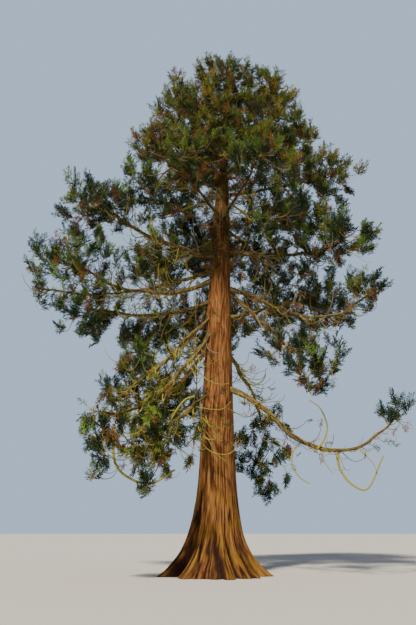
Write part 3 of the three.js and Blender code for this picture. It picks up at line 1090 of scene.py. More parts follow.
class Scatter:
    """Repeats a few patterns at many places."""

    def __init__(self, name: str, patterns: list[bpy.types.Object], seed: int) -> None:
        """Builds the node tree.

        Args:
            name: the tree's name.
            patterns: the shapes that it picks from.
            seed: what the picks are drawn from.
        """
        self.collection = bpy.data.collections.new(name + "_patterns")
        for pattern in patterns:
            self.collection.objects.link(pattern)
        self.patterns = patterns
        self.rng = np.random.default_rng(seed)
        kinds = {"Size": "Float", "Patterns": "Collection", "Finish": "Material"}
        self.recipe = Recipe(name, {label: ("NodeSocket" + kind, None) for label, kind in kinds.items()})
        add, inside, named = self.recipe.add, self.recipe.inside, self.recipe.named
        shapes = {"Collection": inside["Patterns"], "Separate Children": True, "Reset Children": True}
        repeat = {
            "Points": add("GeometryNodeMeshToPoints", {"Mesh": inside["Geometry"]}).outputs["Points"],
            "Instance": add("GeometryNodeCollectionInfo", shapes).outputs["Instances"],
            "Pick Instance": True,
            "Instance Index": named("INT", "template"),
            "Rotation": named("QUATERNION", "heading"),
            "Scale": self.recipe.product(named("FLOAT", "size"), inside["Size"]),
        }
        self.recipe.finish_with(add("GeometryNodeInstanceOnPoints", repeat).outputs["Instances"])

    def make(self, name: str, sites: Sites, finish: bpy.types.Material) -> bpy.types.Object:
        """Makes one piece of many repeats.

        Args:
            name: the piece's name.
            sites: where they are.
            finish: their material.

        Returns:
            The piece.
        """
        carrier = bpy.data.meshes.new(name)
        carrier.from_pydata([tuple(p) for p in sites.places], [], [])
        store(carrier, "heading", sites.quaternions(), "QUATERNION")
        store(carrier, "size", np.array(sites.sizes))
        picks = self.rng.integers(0, len(self.patterns), len(sites.places))
        store(carrier, "template", picks, "INT")
        return self.recipe.make(name, carrier, Size=1.0, Patterns=self.collection, Finish=finish)

    def put_away(self) -> None:
        """Removes the patterns, which aren't pieces."""
        for pattern in self.patterns:
            bpy.data.objects.remove(pattern)
        bpy.data.collections.remove(self.collection)


@dataclass
class Plume:
    """One pointed tuft of foliage: where it ends and starts, where it leads and how far."""

    tip: np.ndarray
    foot: np.ndarray
    lead: np.ndarray
    out: np.ndarray
    reach: float

    @property
    def hangs(self) -> bool:
        """Whether the plume leads down."""
        return bool(self.lead[2] < -0.3)


@dataclass
class Mass:
    """One of the frame's masses of foliage, as the room that its branches may fill.

    Each lead is the share of the way out, which is level for weeping plumes and for those that face down,
    and the share of the way up.
    """

    name: str
    roomy_from: float = 1.75
    normal_pull: float = 0.9
    weeping_share: float = 0.65
    weeping_lead: tuple[float, float] = (0.4, -0.8)
    faces_down: float = -0.3
    under_lead: tuple[float, float] = (0.9, 0.1)
    upper_lead: tuple[float, float] = (0.6, 0.65)
    level_stray: float = 0.05
    stray: float = 0.2

    def __post_init__(self) -> None:
        """Reads the mass from the frame."""
        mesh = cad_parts[self.name].data
        corners = np.array([v.co for v in mesh.vertices])
        faces = np.array([p.vertices for p in mesh.polygons])
        self.tree = BVHTree.FromPolygons(corners.tolist(), faces.tolist())
        self.low, self.high = corners.min(axis=0), corners.max(axis=0)
        self.middle = (self.low + self.high) / 2.0
        self.habit = Habit.WEEPING if "hanging" in self.name or "thin" in self.name else Habit.UPSWEPT
        self.is_high = self.name.startswith("top") or "shoulder" in self.name
        self.is_roomy = float(np.min(self.high - self.low)) > self.roomy_from

    def depth(self, place: np.ndarray) -> float:
        """How far inside a place is, in metres, and below zero where it is outside."""
        near, normal, _, distance = self.tree.find_nearest(Vector(place))
        return distance if (near - Vector(place)).dot(normal) > 0.0 else -distance

    def may_hold(self, place: np.ndarray, margin: float) -> bool:
        """Whether a place is in the mass's box, with a margin."""
        return bool(np.all(place > self.low - margin) and np.all(place < self.high + margin))

    def tries(self, rng: np.random.Generator, per_metre: float, margin: float) -> np.ndarray:
        """Random places in the mass's box.

        Args:
            rng: where the random draws come from.
            per_metre: how many there are in each cubic metre.
            margin: how far the box is widened, in metres.

        Returns:
            One place in each row.
        """
        low, high = self.low - margin, self.high + margin
        return rng.uniform(low, high, (int(np.prod(high - low) * per_metre), 3))

    def towards(self, place: np.ndarray) -> np.ndarray:
        """The way to the mass's surface from a place."""
        near, _, _, _ = self.tree.find_nearest(Vector(place))
        return unit(np.array(near) - place)

    def out(self, place: np.ndarray) -> np.ndarray:
        """The way out of the mass from a place."""
        _, normal, _, _ = self.tree.find_nearest(Vector(place))
        return unit(np.array(normal) + self.normal_pull * unit(place - self.middle))

    def lead(self, rng: np.random.Generator, way: np.ndarray) -> np.ndarray:
        """Where a plume leads, from the way out of the mass at its tip."""
        level = unit(way * np.array([1.0, 1.0, 0.0]) + rng.normal(size=3) * self.level_stray)
        stray = rng.normal(size=3) * self.stray
        if self.habit is Habit.WEEPING and rng.random() < self.weeping_share:
            return unit(level * self.weeping_lead[0] + UP * self.weeping_lead[1] + stray)
        if way[2] < self.faces_down:
            return unit(level * self.under_lead[0] + UP * self.under_lead[1] + stray)
        return unit(way * self.upper_lead[0] + UP * self.upper_lead[1] + stray)


@dataclass
class Canopy:
    """All the masses together, which say where plumes may end.

    Plumes bridge the masses where they are close together, over wider gaps at the back and at the front on
    the right between the two wide heights. Fewer plumes than elsewhere end in front of the trunk.
    """

    masses: list[Mass]
    density: float = 20.0
    spacing: float = 0.79
    edge: float = 0.0
    top_edge: float = -0.3
    dome_middle: tuple[float, float] = (0.6, 0.5)
    dome_shape: tuple[float, float] = (1.0, 1.4)
    dome_height: float = 26.85
    dome_fall: tuple[float, float] = (0.06, 0.005)
    fan_from: tuple[float, float] = (-5.75, 17.1)
    fan_slope: float = 1.24
    low_edge: float = -5.2
    low_to: float = 8.6
    bridge: float = 0.8
    wide_bridge: float = 1.5
    wide_heights: tuple[float, float] = (14.5, 21.5)
    bridge_share: float = 0.55
    under_depth: float = -0.45
    under_share: float = 0.3
    shell: float = 0.95
    inner_shade_share: float = 0.14
    hollow: float = 0.3
    trunk_x: float = 0.42
    trunk_width: float = 0.8
    trunk_to: float = 23.2
    trunk_open: float = 0.9
    reaches: tuple[float, float] = (0.55, 0.95)
    company: float = 1.35
    fewest: int = 3

    def _spread(self, mass: Mass) -> tuple[float, float]:
        """How much wider than usual the plumes of a mass are spaced, and how much is left open."""
        if mass.is_high:
            return 0.9, 0.0
        if mass.name.startswith(("left", "front")):
            return (0.86, 0.0) if mass.habit is Habit.WEEPING else (1.0, 0.1)
        return 1.04, 0.08

    def _under_dome(self, place: np.ndarray) -> bool:
        """Whether a place is under the broad dome that ends the crown."""
        aside = (place[:2] - np.array(self.dome_middle)) * np.array(self.dome_shape)
        away = float(aside @ aside)
        return bool(place[2] < self.dome_height - self.dome_fall[0] * away - self.dome_fall[1] * away**2)

    def _off_left(self, place: np.ndarray) -> bool:
        """Whether a place is above the slope of the left's upper fan, or beyond the low left's edge."""
        aside = place[0] - self.fan_from[0]
        above = aside < 0.0 and place[2] > self.fan_from[1] + self.fan_slope * aside
        return bool(above or (place[0] < self.low_edge and place[2] < self.low_to))

    def _before_trunk(self, place: np.ndarray) -> bool:
        """Whether a place hides the trunk from the front."""
        return bool(
            place[1] < 0.0 and abs(place[0] - self.trunk_x) < self.trunk_width and place[2] < self.trunk_to
        )

    def _with_company(self, made: dict[str, list[Plume]]) -> dict[str, list[Plume]]:
        """Leaves out the plumes that would stand alone."""
        tips = np.array([p.tip for plumes in made.values() for p in plumes])
        kept: dict[str, list[Plume]] = {}
        for name, plumes in made.items():
            near = [np.sum(np.linalg.norm(tips - p.tip, axis=1) < self.company) for p in plumes]
            kept[name] = [p for p, count in zip(plumes, near) if count > self.fewest]
        return kept

    def _room(self, rng: np.random.Generator, place: np.ndarray) -> Mass | None:
        """The mass that a plume's tip belongs to.

        Args:
            rng: where the random draws come from.
            place: the tip.

        Returns:
            The mass, or nothing where the crown is open or the place is deep inside it.
        """
        beside = place[1] > 1.0 or (place[1] < -0.6 and place[0] > 1.5)
        is_wide = beside and self.wide_heights[0] < place[2] < self.wide_heights[1]
        bridge = self.wide_bridge if is_wide else self.bridge
        near = [(m.depth(place), k) for k, m in enumerate(self.masses) if m.may_hold(place, bridge)]
        near.sort(reverse=True)
        if not near or near[0][0] < -bridge:
            return None
        depth, mass = near[0][0], self.masses[near[0][1]]
        if depth > self.shell and rng.random() > self.inner_shade_share:
            return None
        if self._off_left(place) or (mass.is_high and not self._under_dome(place)):
            return None
        if depth > (self.top_edge if mass.is_high else self.edge):
            return mass
        between = False
        if len(near) > 1 and near[1][0] > -bridge:
            other = self.masses[near[1][1]]
            between = float(mass.towards(place) @ other.towards(place)) < -0.1 and place[2] < mass.high[2]
        under = mass.is_roomy and place[2] < mass.middle[2] and depth > self.under_depth
        chance = self.bridge_share if between else (self.under_share if under else 0.0)
        return mass if rng.random() < chance else None

    def plumes(self, rng: np.random.Generator) -> dict[str, list[Plume]]:
        """Spreads plumes over the crown.

        Args:
            rng: where the random draws come from.

        Returns:
            The plumes of each mass, by its name.
        """
        tries = np.concatenate([m.tries(rng, self.density, self.wide_bridge) for m in self.masses])
        rng.shuffle(tries)
        hollow = Noise(23).at(tries * 1.1) + 0.5 * Noise(29).at(tries * 2.3)
        full = hollow < self.hollow
        made: dict[str, list[Plume]] = {m.name: [] for m in self.masses}
        taken: dict[tuple[int, ...], list[np.ndarray]] = {}
        for place, thin in zip(tries[full], hollow[full]):
            cell = tuple(int(v) for v in np.floor(place))
            around = itertools.product(*((c - 1, c, c + 1) for c in cell))
            close = [p for key in around for p in taken.get(key, [])]
            gap = np.min(np.linalg.norm(np.array(close) - place, axis=1)) if close else math.inf
            if gap < self.spacing * 0.9:
                continue
            mass = self._room(rng, place)
            if mass is None or (self._before_trunk(place) and rng.random() < self.trunk_open):
                continue
            spread, gaps = self._spread(mass)
            if gap < self.spacing * spread or thin > self.hollow - gaps:
                continue
            taken.setdefault(cell, []).append(place)
            way = mass.out(place)
            lead = mass.lead(rng, way)
            if not in_box(place[None] + lead * 0.3, 0.1):
                continue
            reach = rng.uniform(*self.reaches)
            made[mass.name].append(Plume(place, place - lead * reach, lead, way, reach))
        return self._with_company(made)


def smooth_strand(points: np.ndarray, radii: np.ndarray, steps: int) -> Strand:
    """A smooth curve through points, with the radius running evenly between them.

    Args:
        points: places on the way.
        radii: the radius at each.
        steps: how many pieces each stretch gets.

    Returns:
        The strand.
    """
    padded = np.vstack([2 * points[0] - points[1], points, 2 * points[-1] - points[-2]])
    t = (np.arange(steps) / steps)[:, None]
    made, thick = [], []
    for k in range(len(points) - 1):
        p0, p1, p2, p3 = padded[k : k + 4]
        bend = (p2 - p0) * t + (2 * p0 - 5 * p1 + 4 * p2 - p3) * t**2 + (3 * p1 - p0 - 3 * p2 + p3) * t**3
        made.append(p1 + 0.5 * bend)
        thick.append(radii[k] + (radii[k + 1] - radii[k]) * t[:, 0])
    return Strand(np.vstack([*made, points[-1:]]), np.concatenate([*thick, radii[-1:]]))


@dataclass
class Feeders:
    """Points on the limbs that branches may leave from, the way of the limb and its radius at each."""

    places: np.ndarray
    ways: np.ndarray
    radii: np.ndarray


@dataclass
class Growth:
    """Branches that spread from the limbs to every plume of one mass.

    A branch starts at the point that costs least, by its distance, the turn it takes there and how far that
    point is from the limb already.
    """

    rng: np.random.Generator
    feeders: Feeders
    habit: Habit
    turn_cost: tuple[float, float] = (1.5, 0.5)
    run_cost: float = 0.34
    follow: float = 0.6
    aim: float = 0.8
    pull_out: float = 1.05
    pull_in: float = 0.85
    step: float = 0.42
    stray: float = 0.16
    jitter: float = 0.025
    finest: float = 0.014
    power: float = 0.42
    collar: float = 1.2
    limit: float = 0.85
    end: float = 0.8

    def __post_init__(self) -> None:
        """Starts from the limbs that feed the mass."""
        self.places = [*self.feeders.places]
        self.ways = [*self.feeders.ways]
        self.roots = len(self.places)
        self.parents = [-1] * self.roots
        self.run = [0.0] * self.roots
        self.tips: list[int] = []
        self.sink, self.lift = (0.75, 0.6) if self.habit is Habit.WEEPING else (0.15, 0.2)

    def reach(self, plume: Plume) -> None:
        """Grows a branch to a plume's foot from where it costs least, arriving along the plume."""
        here, ways = np.array(self.places), np.array(self.ways)
        to = plume.foot - here
        away = np.linalg.norm(to, axis=1) + 1e-6
        forward = np.einsum("ij,ij->i", to, ways) / away
        turn = self.turn_cost[0] - self.turn_cost[1] * forward
        start = int(np.argmin(away * turn + self.run_cost * np.array(self.run)))
        length = away[start]
        stray = self.rng.normal(size=3) * self.stray
        leave = unit(ways[start] * self.follow + to[start] / length * self.aim - UP * self.sink + stray)
        arrive = unit(plume.lead + UP * self.lift)
        leave, arrive = leave * length * self.pull_out, arrive * length * self.pull_in
        steps = max(round(length / self.step), 2)
        parent = start
        for k in range(1, steps + 1):
            t = k / steps
            place = here[start] * (2 * t**3 - 3 * t**2 + 1) + plume.foot * (3 * t**2 - 2 * t**3)
            place = place + leave * (t**3 - 2 * t**2 + t) + arrive * (t**3 - t**2)
            place = place + self.rng.normal(size=3) * self.jitter * (k < steps)
            self.ways.append(unit(place - self.places[parent]))
            self.places.append(place)
            self.parents.append(parent)
            self.run.append(self.run[parent] + length / steps)
            parent = len(self.places) - 1
        self.tips.append(parent)

    def _loads(self) -> np.ndarray:
        """How many plumes each point feeds."""
        load = np.zeros(len(self.places))
        for tip in self.tips:
            load[tip] += 1.0
        for index in range(len(self.places) - 1, self.roots - 1, -1):
            load[self.parents[index]] += load[index]
        return load

    def strands(self) -> list[Strand]:
        """All the branches, thicker where they feed more plumes."""
        load = self._loads()
        children: dict[int, list[int]] = {}
        for index in range(self.roots, len(self.places)):
            children.setdefault(self.parents[index], []).append(index)
        radius = self.finest * np.maximum(load, 1.0) ** self.power
        places = np.array(self.places)
        starts = [(parent, child) for parent in range(self.roots) for child in children.get(parent, [])]
        made = []
        while starts:
            parent, child = starts.pop()
            chain = [parent, child]
            while chain[-1] in children:
                onward = sorted(children[chain[-1]], key=lambda c: -load[c])
                starts.extend((chain[-1], other) for other in onward[1:])
                chain.append(onward[0])
            thick = radius[chain].copy()
            thick[0] = thick[1] * self.collar
            if parent < self.roots:
                thick = np.minimum(thick, self.feeders.radii[parent] * self.limit)
            thick[-1] *= self.end
            made.append(smooth_strand(places[chain], thick, 2))
        return made


@dataclass(frozen=True)
class Hook:
    """A bare twig that falls away from its limb and turns up at its end."""

    root: np.ndarray
    way: np.ndarray
    length: float
    radius: float
    turn: float
    steps: int = 7
    turn_grows: tuple[float, float] = (0.3, 1.6)
    stray: float = 0.1
    taper: float = 0.6

    def strand(self, rng: np.random.Generator) -> Strand:
        """Lays the twig out.

        Args:
            rng: where its small strays come from.

        Returns:
            The twig as a strand.
        """
        points, heading = [self.root], self.way
        for k in range(self.steps):
            rise = UP * self.turn * (self.turn_grows[0] + self.turn_grows[1] * k / self.steps)
            heading = unit(heading + rise + rng.normal(size=3) * self.stray)
            points.append(points[-1] + heading * self.length / self.steps)
        radii = self.radius * (1.0 - self.taper * np.linspace(0.0, 1.0, self.steps + 1))
        return Strand(np.array(points), radii)


@dataclass(frozen=True)
class Loop:
    """One of the long bare branches that hang in a bow: its radius at both ends, and places on its way."""

    thick: float
    thin: float
    places: tuple[tuple[float, float, float], ...]

    def strand(self) -> Strand:
        """The loop as a smooth strand."""
        radii = np.linspace(self.thick, self.thin, len(self.places))
        return smooth_strand(np.array(self.places), radii, 5)


LOOPS = (
    Loop(0.054, 0.022, (
        (4.1, -1.65, 4.9), (4.53, -1.7, 5.41), (4.7, -1.7, 6.04), (4.44, -1.7, 6.77), (3.99, -1.7, 7.12),
    )),
    Loop(0.061, 0.03, (
        (5.0, -1.9, 4.8), (5.04, -2.1, 4.17), (5.48, -2.2, 3.54), (6.12, -2.2, 3.42), (6.86, -2.1, 4.7),
    )),
    Loop(0.041, 0.018, (
        (3.37, -1.5, 5.2), (3.14, -1.7, 4.78), (3.16, -1.8, 4.25), (3.43, -1.8, 3.85), (3.84, -1.7, 3.61),
    )),
    Loop(0.027, 0.015, (
        (4.36, -1.7, 4.9), (4.49, -2.0, 4.38), (4.76, -2.1, 3.98),
    )),
    Loop(0.03, 0.015, (
        (5.9, -2.1, 4.95), (6.33, -2.3, 4.44), (6.52, -2.4, 3.88),
    )),
    Loop(0.061, 0.038, (
        (-4.3, -2.6, 5.9), (-4.15, -2.7, 4.4), (-3.5, -2.7, 3.75), (-2.6, -2.7, 3.58), (-1.72, -2.6, 4.1),
    )),
    Loop(0.041, 0.022, (
        (-4.1, -2.2, 6.3), (-3.98, -2.4, 5.67), (-3.46, -2.5, 5.09), (-2.79, -2.4, 4.93), (-2.3, -2.2, 5.26),
    )),
    Loop(0.047, 0.022, (
        (-0.95, -2.1, 7.2), (-1.4, -2.3, 6.98), (-1.89, -2.4, 6.22), (-2.04, -2.4, 5.39), (-1.2, -2.4, 4.7),
    )),
    Loop(0.027, 0.015, (
        (-0.9, -1.3, 5.7), (-0.48, -1.5, 5.12), (-0.09, -1.6, 4.87), (0.46, -1.6, 4.83), (0.85, -1.5, 5.12),
    )),
    Loop(0.02, 0.012, (
        (-0.9, -1.3, 6.9), (-0.3, -1.5, 6.76), (0.22, -1.5, 6.76), (0.62, -1.4, 7.11),
    )),
    Loop(0.02, 0.012, (
        (-0.95, -1.3, 5.9), (-0.39, -1.5, 5.46), (-0.13, -1.6, 4.95), (0.38, -1.5, 4.53),
    )),
)


@dataclass
class Grown:
    """Everything that has grown on from the limbs so far, by its kind and tint."""

    rng: np.random.Generator
    branches: dict[Wood, list[Strand]] = field(default_factory=lambda: {w: [] for w in Wood})
    twigs: dict[Wood, list[Strand]] = field(default_factory=lambda: {w: [] for w in Wood})
    sprays: dict[Leaf, Sites] = field(default_factory=lambda: {t: Sites() for t in Leaf})
    cones: Sites = field(default_factory=Sites)
    spray_roll: float = 0.8

    def add_spray(
        self, tint: Leaf, place: np.ndarray, way: np.ndarray, sizes: tuple[float, float]
    ) -> None:
        """Adds one spray, rolled a little to either side.

        Args:
            tint: its tint.
            place: where it starts.
            way: where it points.
            sizes: the range that its size is drawn from.
        """
        roll = self.rng.uniform(-self.spray_roll, self.spray_roll)
        self.sprays[tint].add(place, way, roll, self.rng.uniform(*sizes))


@dataclass
class Tints:
    """Draws tints by where things are and which way they face.

    Branches are greener low down and browner high up. Living sprays get painted sunlight at the left's tips
    and where they face the sun, olive and gold high up, painted shade beneath and further in, and dull
    painted shade low on the left.
    """

    rng: np.random.Generator
    mossy_to: float = 10.0
    olive_to: float = 17.5
    dull_to: float = 11.0
    gilded: tuple[float, float] = (15.5, 21.0)
    left_to: float = -2.0
    shade_to: tuple[float, float] = (-0.8, 8.5)
    inner_to: float = 0.5
    # inner_shade_share: how often an inner spray gets the painted shade tint.
    inner_shade_share: float = 0.55
    own_share: float = 0.75

    def _by_share(self, *shares: tuple[Wood, float]) -> Wood:
        """The first tint whose running share passes a draw."""
        draw = self.rng.random()
        return next(wood for wood, share in shares if draw < share)

    def branch(self, strand: Strand) -> Wood:
        """The tint of one branch or bare twig."""
        height = strand.points[0][2]
        if height < self.mossy_to:
            return self._by_share((Wood.MOSS, 0.5), (Wood.OLIVE, 0.85), (Wood.BROWN, 1.0))
        if height < self.olive_to:
            return self._by_share((Wood.OLIVE, 0.45), (Wood.GREY, 0.75), (Wood.BROWN, 1.0))
        return self._by_share((Wood.GREY, 0.4), (Wood.BROWN, 0.8), (Wood.RUST, 1.0))

    def twig(self, place: np.ndarray) -> Wood:
        """The tint of one branchlet."""
        if place[2] < self.dull_to:
            return self._by_share((Wood.OLIVE, 0.75), (Wood.RUST, 1.0))
        return self._by_share((Wood.OLIVE, 0.35), (Wood.BROWN, 0.8), (Wood.RUST, 1.0))

    def by_weight(self, weights: dict[Leaf, float]) -> Leaf:
        """Draws one tint by weight."""
        chance = np.array(list(weights.values()))
        return list(weights)[self.rng.choice(len(chance), p=chance / chance.sum())]

    def living(self, way: np.ndarray, place: np.ndarray) -> Leaf:
        """The tint of living foliage, by its place and the way that it faces, which paints sunlight and
        shade.
        """
        high = float(smoothstep(np.array(place[2]), *self.gilded))
        # lit paints sunlight: how far a spray faces the sun, from the left, the front and above. The sunlit
        # tint and gold grow with it, so gold is partly a tint of the high crown and partly painted sunlight.
        # The shade tint grows as it falls.
        lit = float(np.clip(0.45 - 0.35 * way[0] - 0.25 * way[1] + 0.3 * way[2], 0.03, 1.0))
        left = place[0] < self.left_to
        # shaded paints shade low on the left: more of the shade tint and the dull tints there.
        shaded = place[0] < self.shade_to[0] and place[2] < self.shade_to[1]
        weights = {
            Leaf.BRIGHT: lit * (1.3 if left else 0.2) * (1.0 - 0.8 * high),
            Leaf.MIDDLE: (0.9 if left else 0.6) * (0.4 if shaded else 1.0),
            Leaf.DEEP: (1.3 - 0.8 * lit) * (1.0 - 0.7 * high) * (1.5 if shaded else 1.0),
            Leaf.BLUE: (1.0 - high) * (0.3 if shaded else 1.0),
            Leaf.OLIVE: 0.15 + 1.5 * high + (0.8 if shaded else 0.0),
            Leaf.GOLD: 0.05 + 0.6 * high * lit + (0.25 if shaded else 0.0),
        }
        return self.by_weight(weights)

    def spray(self, main: Leaf, plume: Plume, spot: float) -> Leaf:
        """The tint of one living spray: the plume's own near the tips, and often painted shade further in.
        """
        draw = self.rng.random()
        # Inner sprays often get painted shade.
        if spot < self.inner_to and draw < self.inner_shade_share:
            return Leaf.DEEP
        return main if draw < self.own_share else self.living(plume.out, plume.foot)

    def dead(self, mass: Mass, plume: Plume) -> Leaf | None:
        """The tint of a dead branchlet, or nothing for a living one."""
        chance = 0.03 + (0.08 if plume.hangs else 0.0) + (0.05 if plume.out[2] < -0.1 else 0.0)
        chance += 0.05 if mass.is_high else 0.0
        if self.rng.random() > chance:
            return None
        return self.by_weight({Leaf.ORANGE: 0.6, Leaf.BROWN: 0.4 if mass.habit is Habit.WEEPING else 0.9})


@dataclass(frozen=True)
class TwigHabit:
    """How the bare twigs on a limb hang: ranges of rise and length, and a radius that the length adds to."""

    rise: tuple[float, float]
    length: tuple[float, float]
    radius: float


HIGH_TWIGS = TwigHabit((-0.3, 0.5), (0.5, 1.3), 0.019)
LOW_TWIGS = TwigHabit((-1.0, 0.1), (0.7, 2.4), 0.019)
LONG_TWIGS = TwigHabit((-1.0, 0.1), (0.7, 3.0), 0.026)


@dataclass
class BareTwigs:
    """Hangs bare twigs and branches from the limbs, the branches, the plumes and the trunk.

    None may end in the open corner low on the left, which is given by its right edge and its top.
    """

    rng: np.random.Generator
    tints: Tints
    grown: Grown
    lowest: float = 3.6
    open_left: tuple[float, float] = (-5.0, 9.5)
    hook_turn: tuple[float, float] = (0.1, 0.32)
    forks_from: float = 1.0
    fork_share: float = 0.7
    leafy_spots: tuple[int, ...] = (3, 5, 7)
    leafy_sizes: tuple[float, float] = (0.7, 1.1)
    dead_share: float = 0.35
    low_to: float = 9.5
    high_from: float = 16.8
    long_left: float = -0.8
    close_left: float = -1.5
    limb_from: float = 0.9
    close_gaps: tuple[float, float] = (0.08, 0.22)
    wide_gaps: tuple[float, float] = (0.12, 0.3)
    tip_part: float = 0.75
    tip_length: float = 0.8
    bow_turn: tuple[float, float] = (0.3, 0.45)
    bow_heights: tuple[float, float] = (8.5, 17.0)
    bow_gap: float = 0.45
    bow_from: float = 1.2
    stout_from: float = 0.018
    drop_radius: float = 0.017
    tapering: tuple[float, float] = (1.15, 0.75)
    thickening: float = 0.006
    limb_share: float = 0.6
    branch_share: float = 0.7
    trunk_twigs: int = 90
    trunk_heights: tuple[float, float] = (5.0, 20.0)
    shoots: int = 150
    shoot_heights: tuple[float, float] = (13.5, 21.5)
    shoot_radius: float = 0.011
    shoot_sizes: tuple[float, float] = (0.45, 0.85)

    def _fits(self, strand: Strand) -> bool:
        """Whether a bare twig stays in the frame's box, above the lowest twigs and off the open low left."""
        low = float(np.min(strand.points[:, 2]))
        end = strand.points[-1]
        is_off = end[0] < self.open_left[0] and end[2] < self.open_left[1]
        return low > self.lowest and not is_off and in_box(strand.points, 0.0)

    def _either_side(self, side: np.ndarray) -> np.ndarray:
        """A way, or by an even draw its opposite."""
        return side * self.rng.choice([-1.0, 1.0])

    def bow(self, plume: Plume) -> None:
        """Hangs one bare twig in a bow near a plume's tip."""
        rng = self.rng
        across = self._either_side(unit(np.cross(UP, plume.out) + rng.normal(size=3) * 0.2))
        way = unit(across * rng.uniform(0.3, 0.9) + plume.out * 0.4 - UP * rng.uniform(0.5, 1.0))
        root = plume.foot + 0.5 * plume.reach * plume.lead
        bow = Hook(root, way, rng.uniform(0.9, 1.9), rng.uniform(0.02, 0.028), rng.uniform(*self.bow_turn))
        strand = bow.strand(rng)
        if self._fits(strand):
            self.grown.twigs[Wood.MOSS].append(strand)

    def _hook(self, root: np.ndarray, way: np.ndarray, length: float, radius: float) -> None:
        """Grows one bare twig, often forked when it is long, sometimes with sprays on it.

        Args:
            root: where it leaves its branch.
            way: how it leaves.
            length: its length in metres.
            radius: its radius at the root.
        """
        rng = self.rng
        strand = Hook(root, way, length, radius, rng.uniform(*self.hook_turn)).strand(rng)
        if not self._fits(strand):
            return
        wood = self.tints.branch(strand)
        self.grown.twigs[wood].append(strand)
        if length > self.forks_from and rng.random() < self.fork_share:
            index = int(rng.integers(2, 6))
            aside = unit(strand.points[index + 1] - strand.points[index] + rng.normal(size=3) * 0.6)
            fork = Hook(strand.points[index], aside, length * rng.uniform(0.3, 0.6), radius * 0.6, 0.25, 5)
            thin = fork.strand(rng)
            if self._fits(thin):
                self.grown.twigs[wood].append(thin)
        for index in self.leafy_spots:
            if rng.random() < (0.2 if root[2] < self.low_to else 0.16):
                dead = rng.random() < self.dead_share
                tint = Leaf.ORANGE if dead else self.tints.living(way, root)
                heading = unit(rng.normal(size=3) * 0.2 - UP) if dead else unit(way + UP * 0.5)
                self.grown.add_spray(tint, strand.points[index], heading, self.leafy_sizes)

    def hooks_on(self, limb: Limb) -> None:
        """Hangs bare twigs along a limb, more and longer low on the left."""
        rng = self.rng
        ahead, run = limb.directions(), limb.lengths()
        spot = self.limb_from
        while spot < run[-1] - 0.1:
            index = int(np.searchsorted(run, spot))
            root = limb.points[index]
            side = self._either_side(unit(np.cross(UP, ahead[index])))
            is_long = root[2] < self.low_to and root[0] < self.long_left
            habit = HIGH_TWIGS if root[2] > self.high_from else (LONG_TWIGS if is_long else LOW_TWIGS)
            rise = UP * rng.uniform(*habit.rise)
            way = unit(ahead[index] * 0.45 + side * rng.uniform(0.2, 0.8) + rise)
            length = rng.uniform(*habit.length)
            length *= self.tapering[0] - self.tapering[1] * spot / run[-1]
            if is_long and spot > self.tip_part * run[-1]:
                length = min(length, self.tip_length)
            radius = min(habit.radius + self.thickening * length, limb.radii[index] * self.limb_share)
            self._hook(root, way, length, radius)
            is_close = is_long or root[0] < self.close_left
            spot += rng.uniform(*(self.close_gaps if is_close else self.wide_gaps))

    def bows_on(self, limb: Limb) -> None:
        """Hangs stout bare branches in bows from a limb at mid height."""
        rng = self.rng
        ahead, run = limb.directions(), limb.lengths()
        for spot in np.arange(self.bow_from, run[-1] * 0.9, self.bow_gap):
            index = min(int(np.searchsorted(run, spot + rng.uniform(-0.3, 0.3))), len(run) - 1)
            root = limb.points[index]
            if not self.bow_heights[0] < root[2] < self.bow_heights[1]:
                continue
            side = self._either_side(unit(np.cross(UP, ahead[index])))
            way = unit(ahead[index] * 0.5 + side * rng.uniform(0.3, 0.9) - UP * rng.uniform(0.3, 1.0))
            radius = min(rng.uniform(0.02, 0.037), limb.radii[index] * self.branch_share)
            bow = Hook(root, way, rng.uniform(1.2, 2.5), radius, rng.uniform(*self.bow_turn), 9)
            strand = bow.strand(rng)
            if self._fits(strand):
                wood = Wood.MOSS if root[0] < 0.0 else self.tints.branch(strand)
                self.grown.branches[wood].append(strand)

    def hooks_from(self, strands: list[Strand]) -> None:
        """Hangs short bare twigs from the thicker branches of one mass."""
        rng = self.rng
        for strand in strands:
            if strand.radii[0] < self.stout_from or len(strand.points) < 5:
                continue
            for index in range(2, len(strand.points) - 2, 2):
                if rng.random() < (0.7 if strand.points[index][2] > 15.0 else 0.5):
                    ahead = unit(strand.points[index + 1] - strand.points[index])
                    way = unit(ahead * 0.5 + rng.normal(size=3) * 0.5 - UP * rng.uniform(0.0, 0.7))
                    radius = min(self.drop_radius, strand.radii[index] * self.branch_share)
                    self._hook(strand.points[index], way, rng.uniform(0.4, 1.2), radius)

    def _on_trunk(
        self, trunk: Trunk, heights: tuple[float, float]
    ) -> tuple[np.ndarray, np.ndarray, np.ndarray]:
        """Draws a spot on the trunk.

        Args:
            trunk: the trunk.
            heights: the least and greatest height in metres.

        Returns:
            The spot, the way out of the trunk there, and a level way to one side.
        """
        z = self.rng.uniform(*heights)
        angle = self.rng.uniform(0.0, FULL_TURN)
        thick = float(trunk.radius(np.array(z))) * 0.95
        edge = np.array([math.cos(angle), math.sin(angle), 0.0])
        root = np.array([float(trunk.axis_x(np.array(z))), 0.0, z]) + edge * thick
        return root, edge, self._either_side(np.cross(UP, edge))

    def hooks_round(self, trunk: Trunk) -> None:
        """Hangs thin bare twigs all round the trunk, at most heights alike."""
        rng = self.rng
        for _ in range(self.trunk_twigs):
            root, edge, side = self._on_trunk(trunk, self.trunk_heights)
            way = unit(edge * 0.7 + side * rng.uniform(0.2, 0.9) - UP * rng.uniform(-0.1, 0.8))
            self._hook(root, way, rng.uniform(0.6, 1.7), rng.uniform(0.01, 0.02))

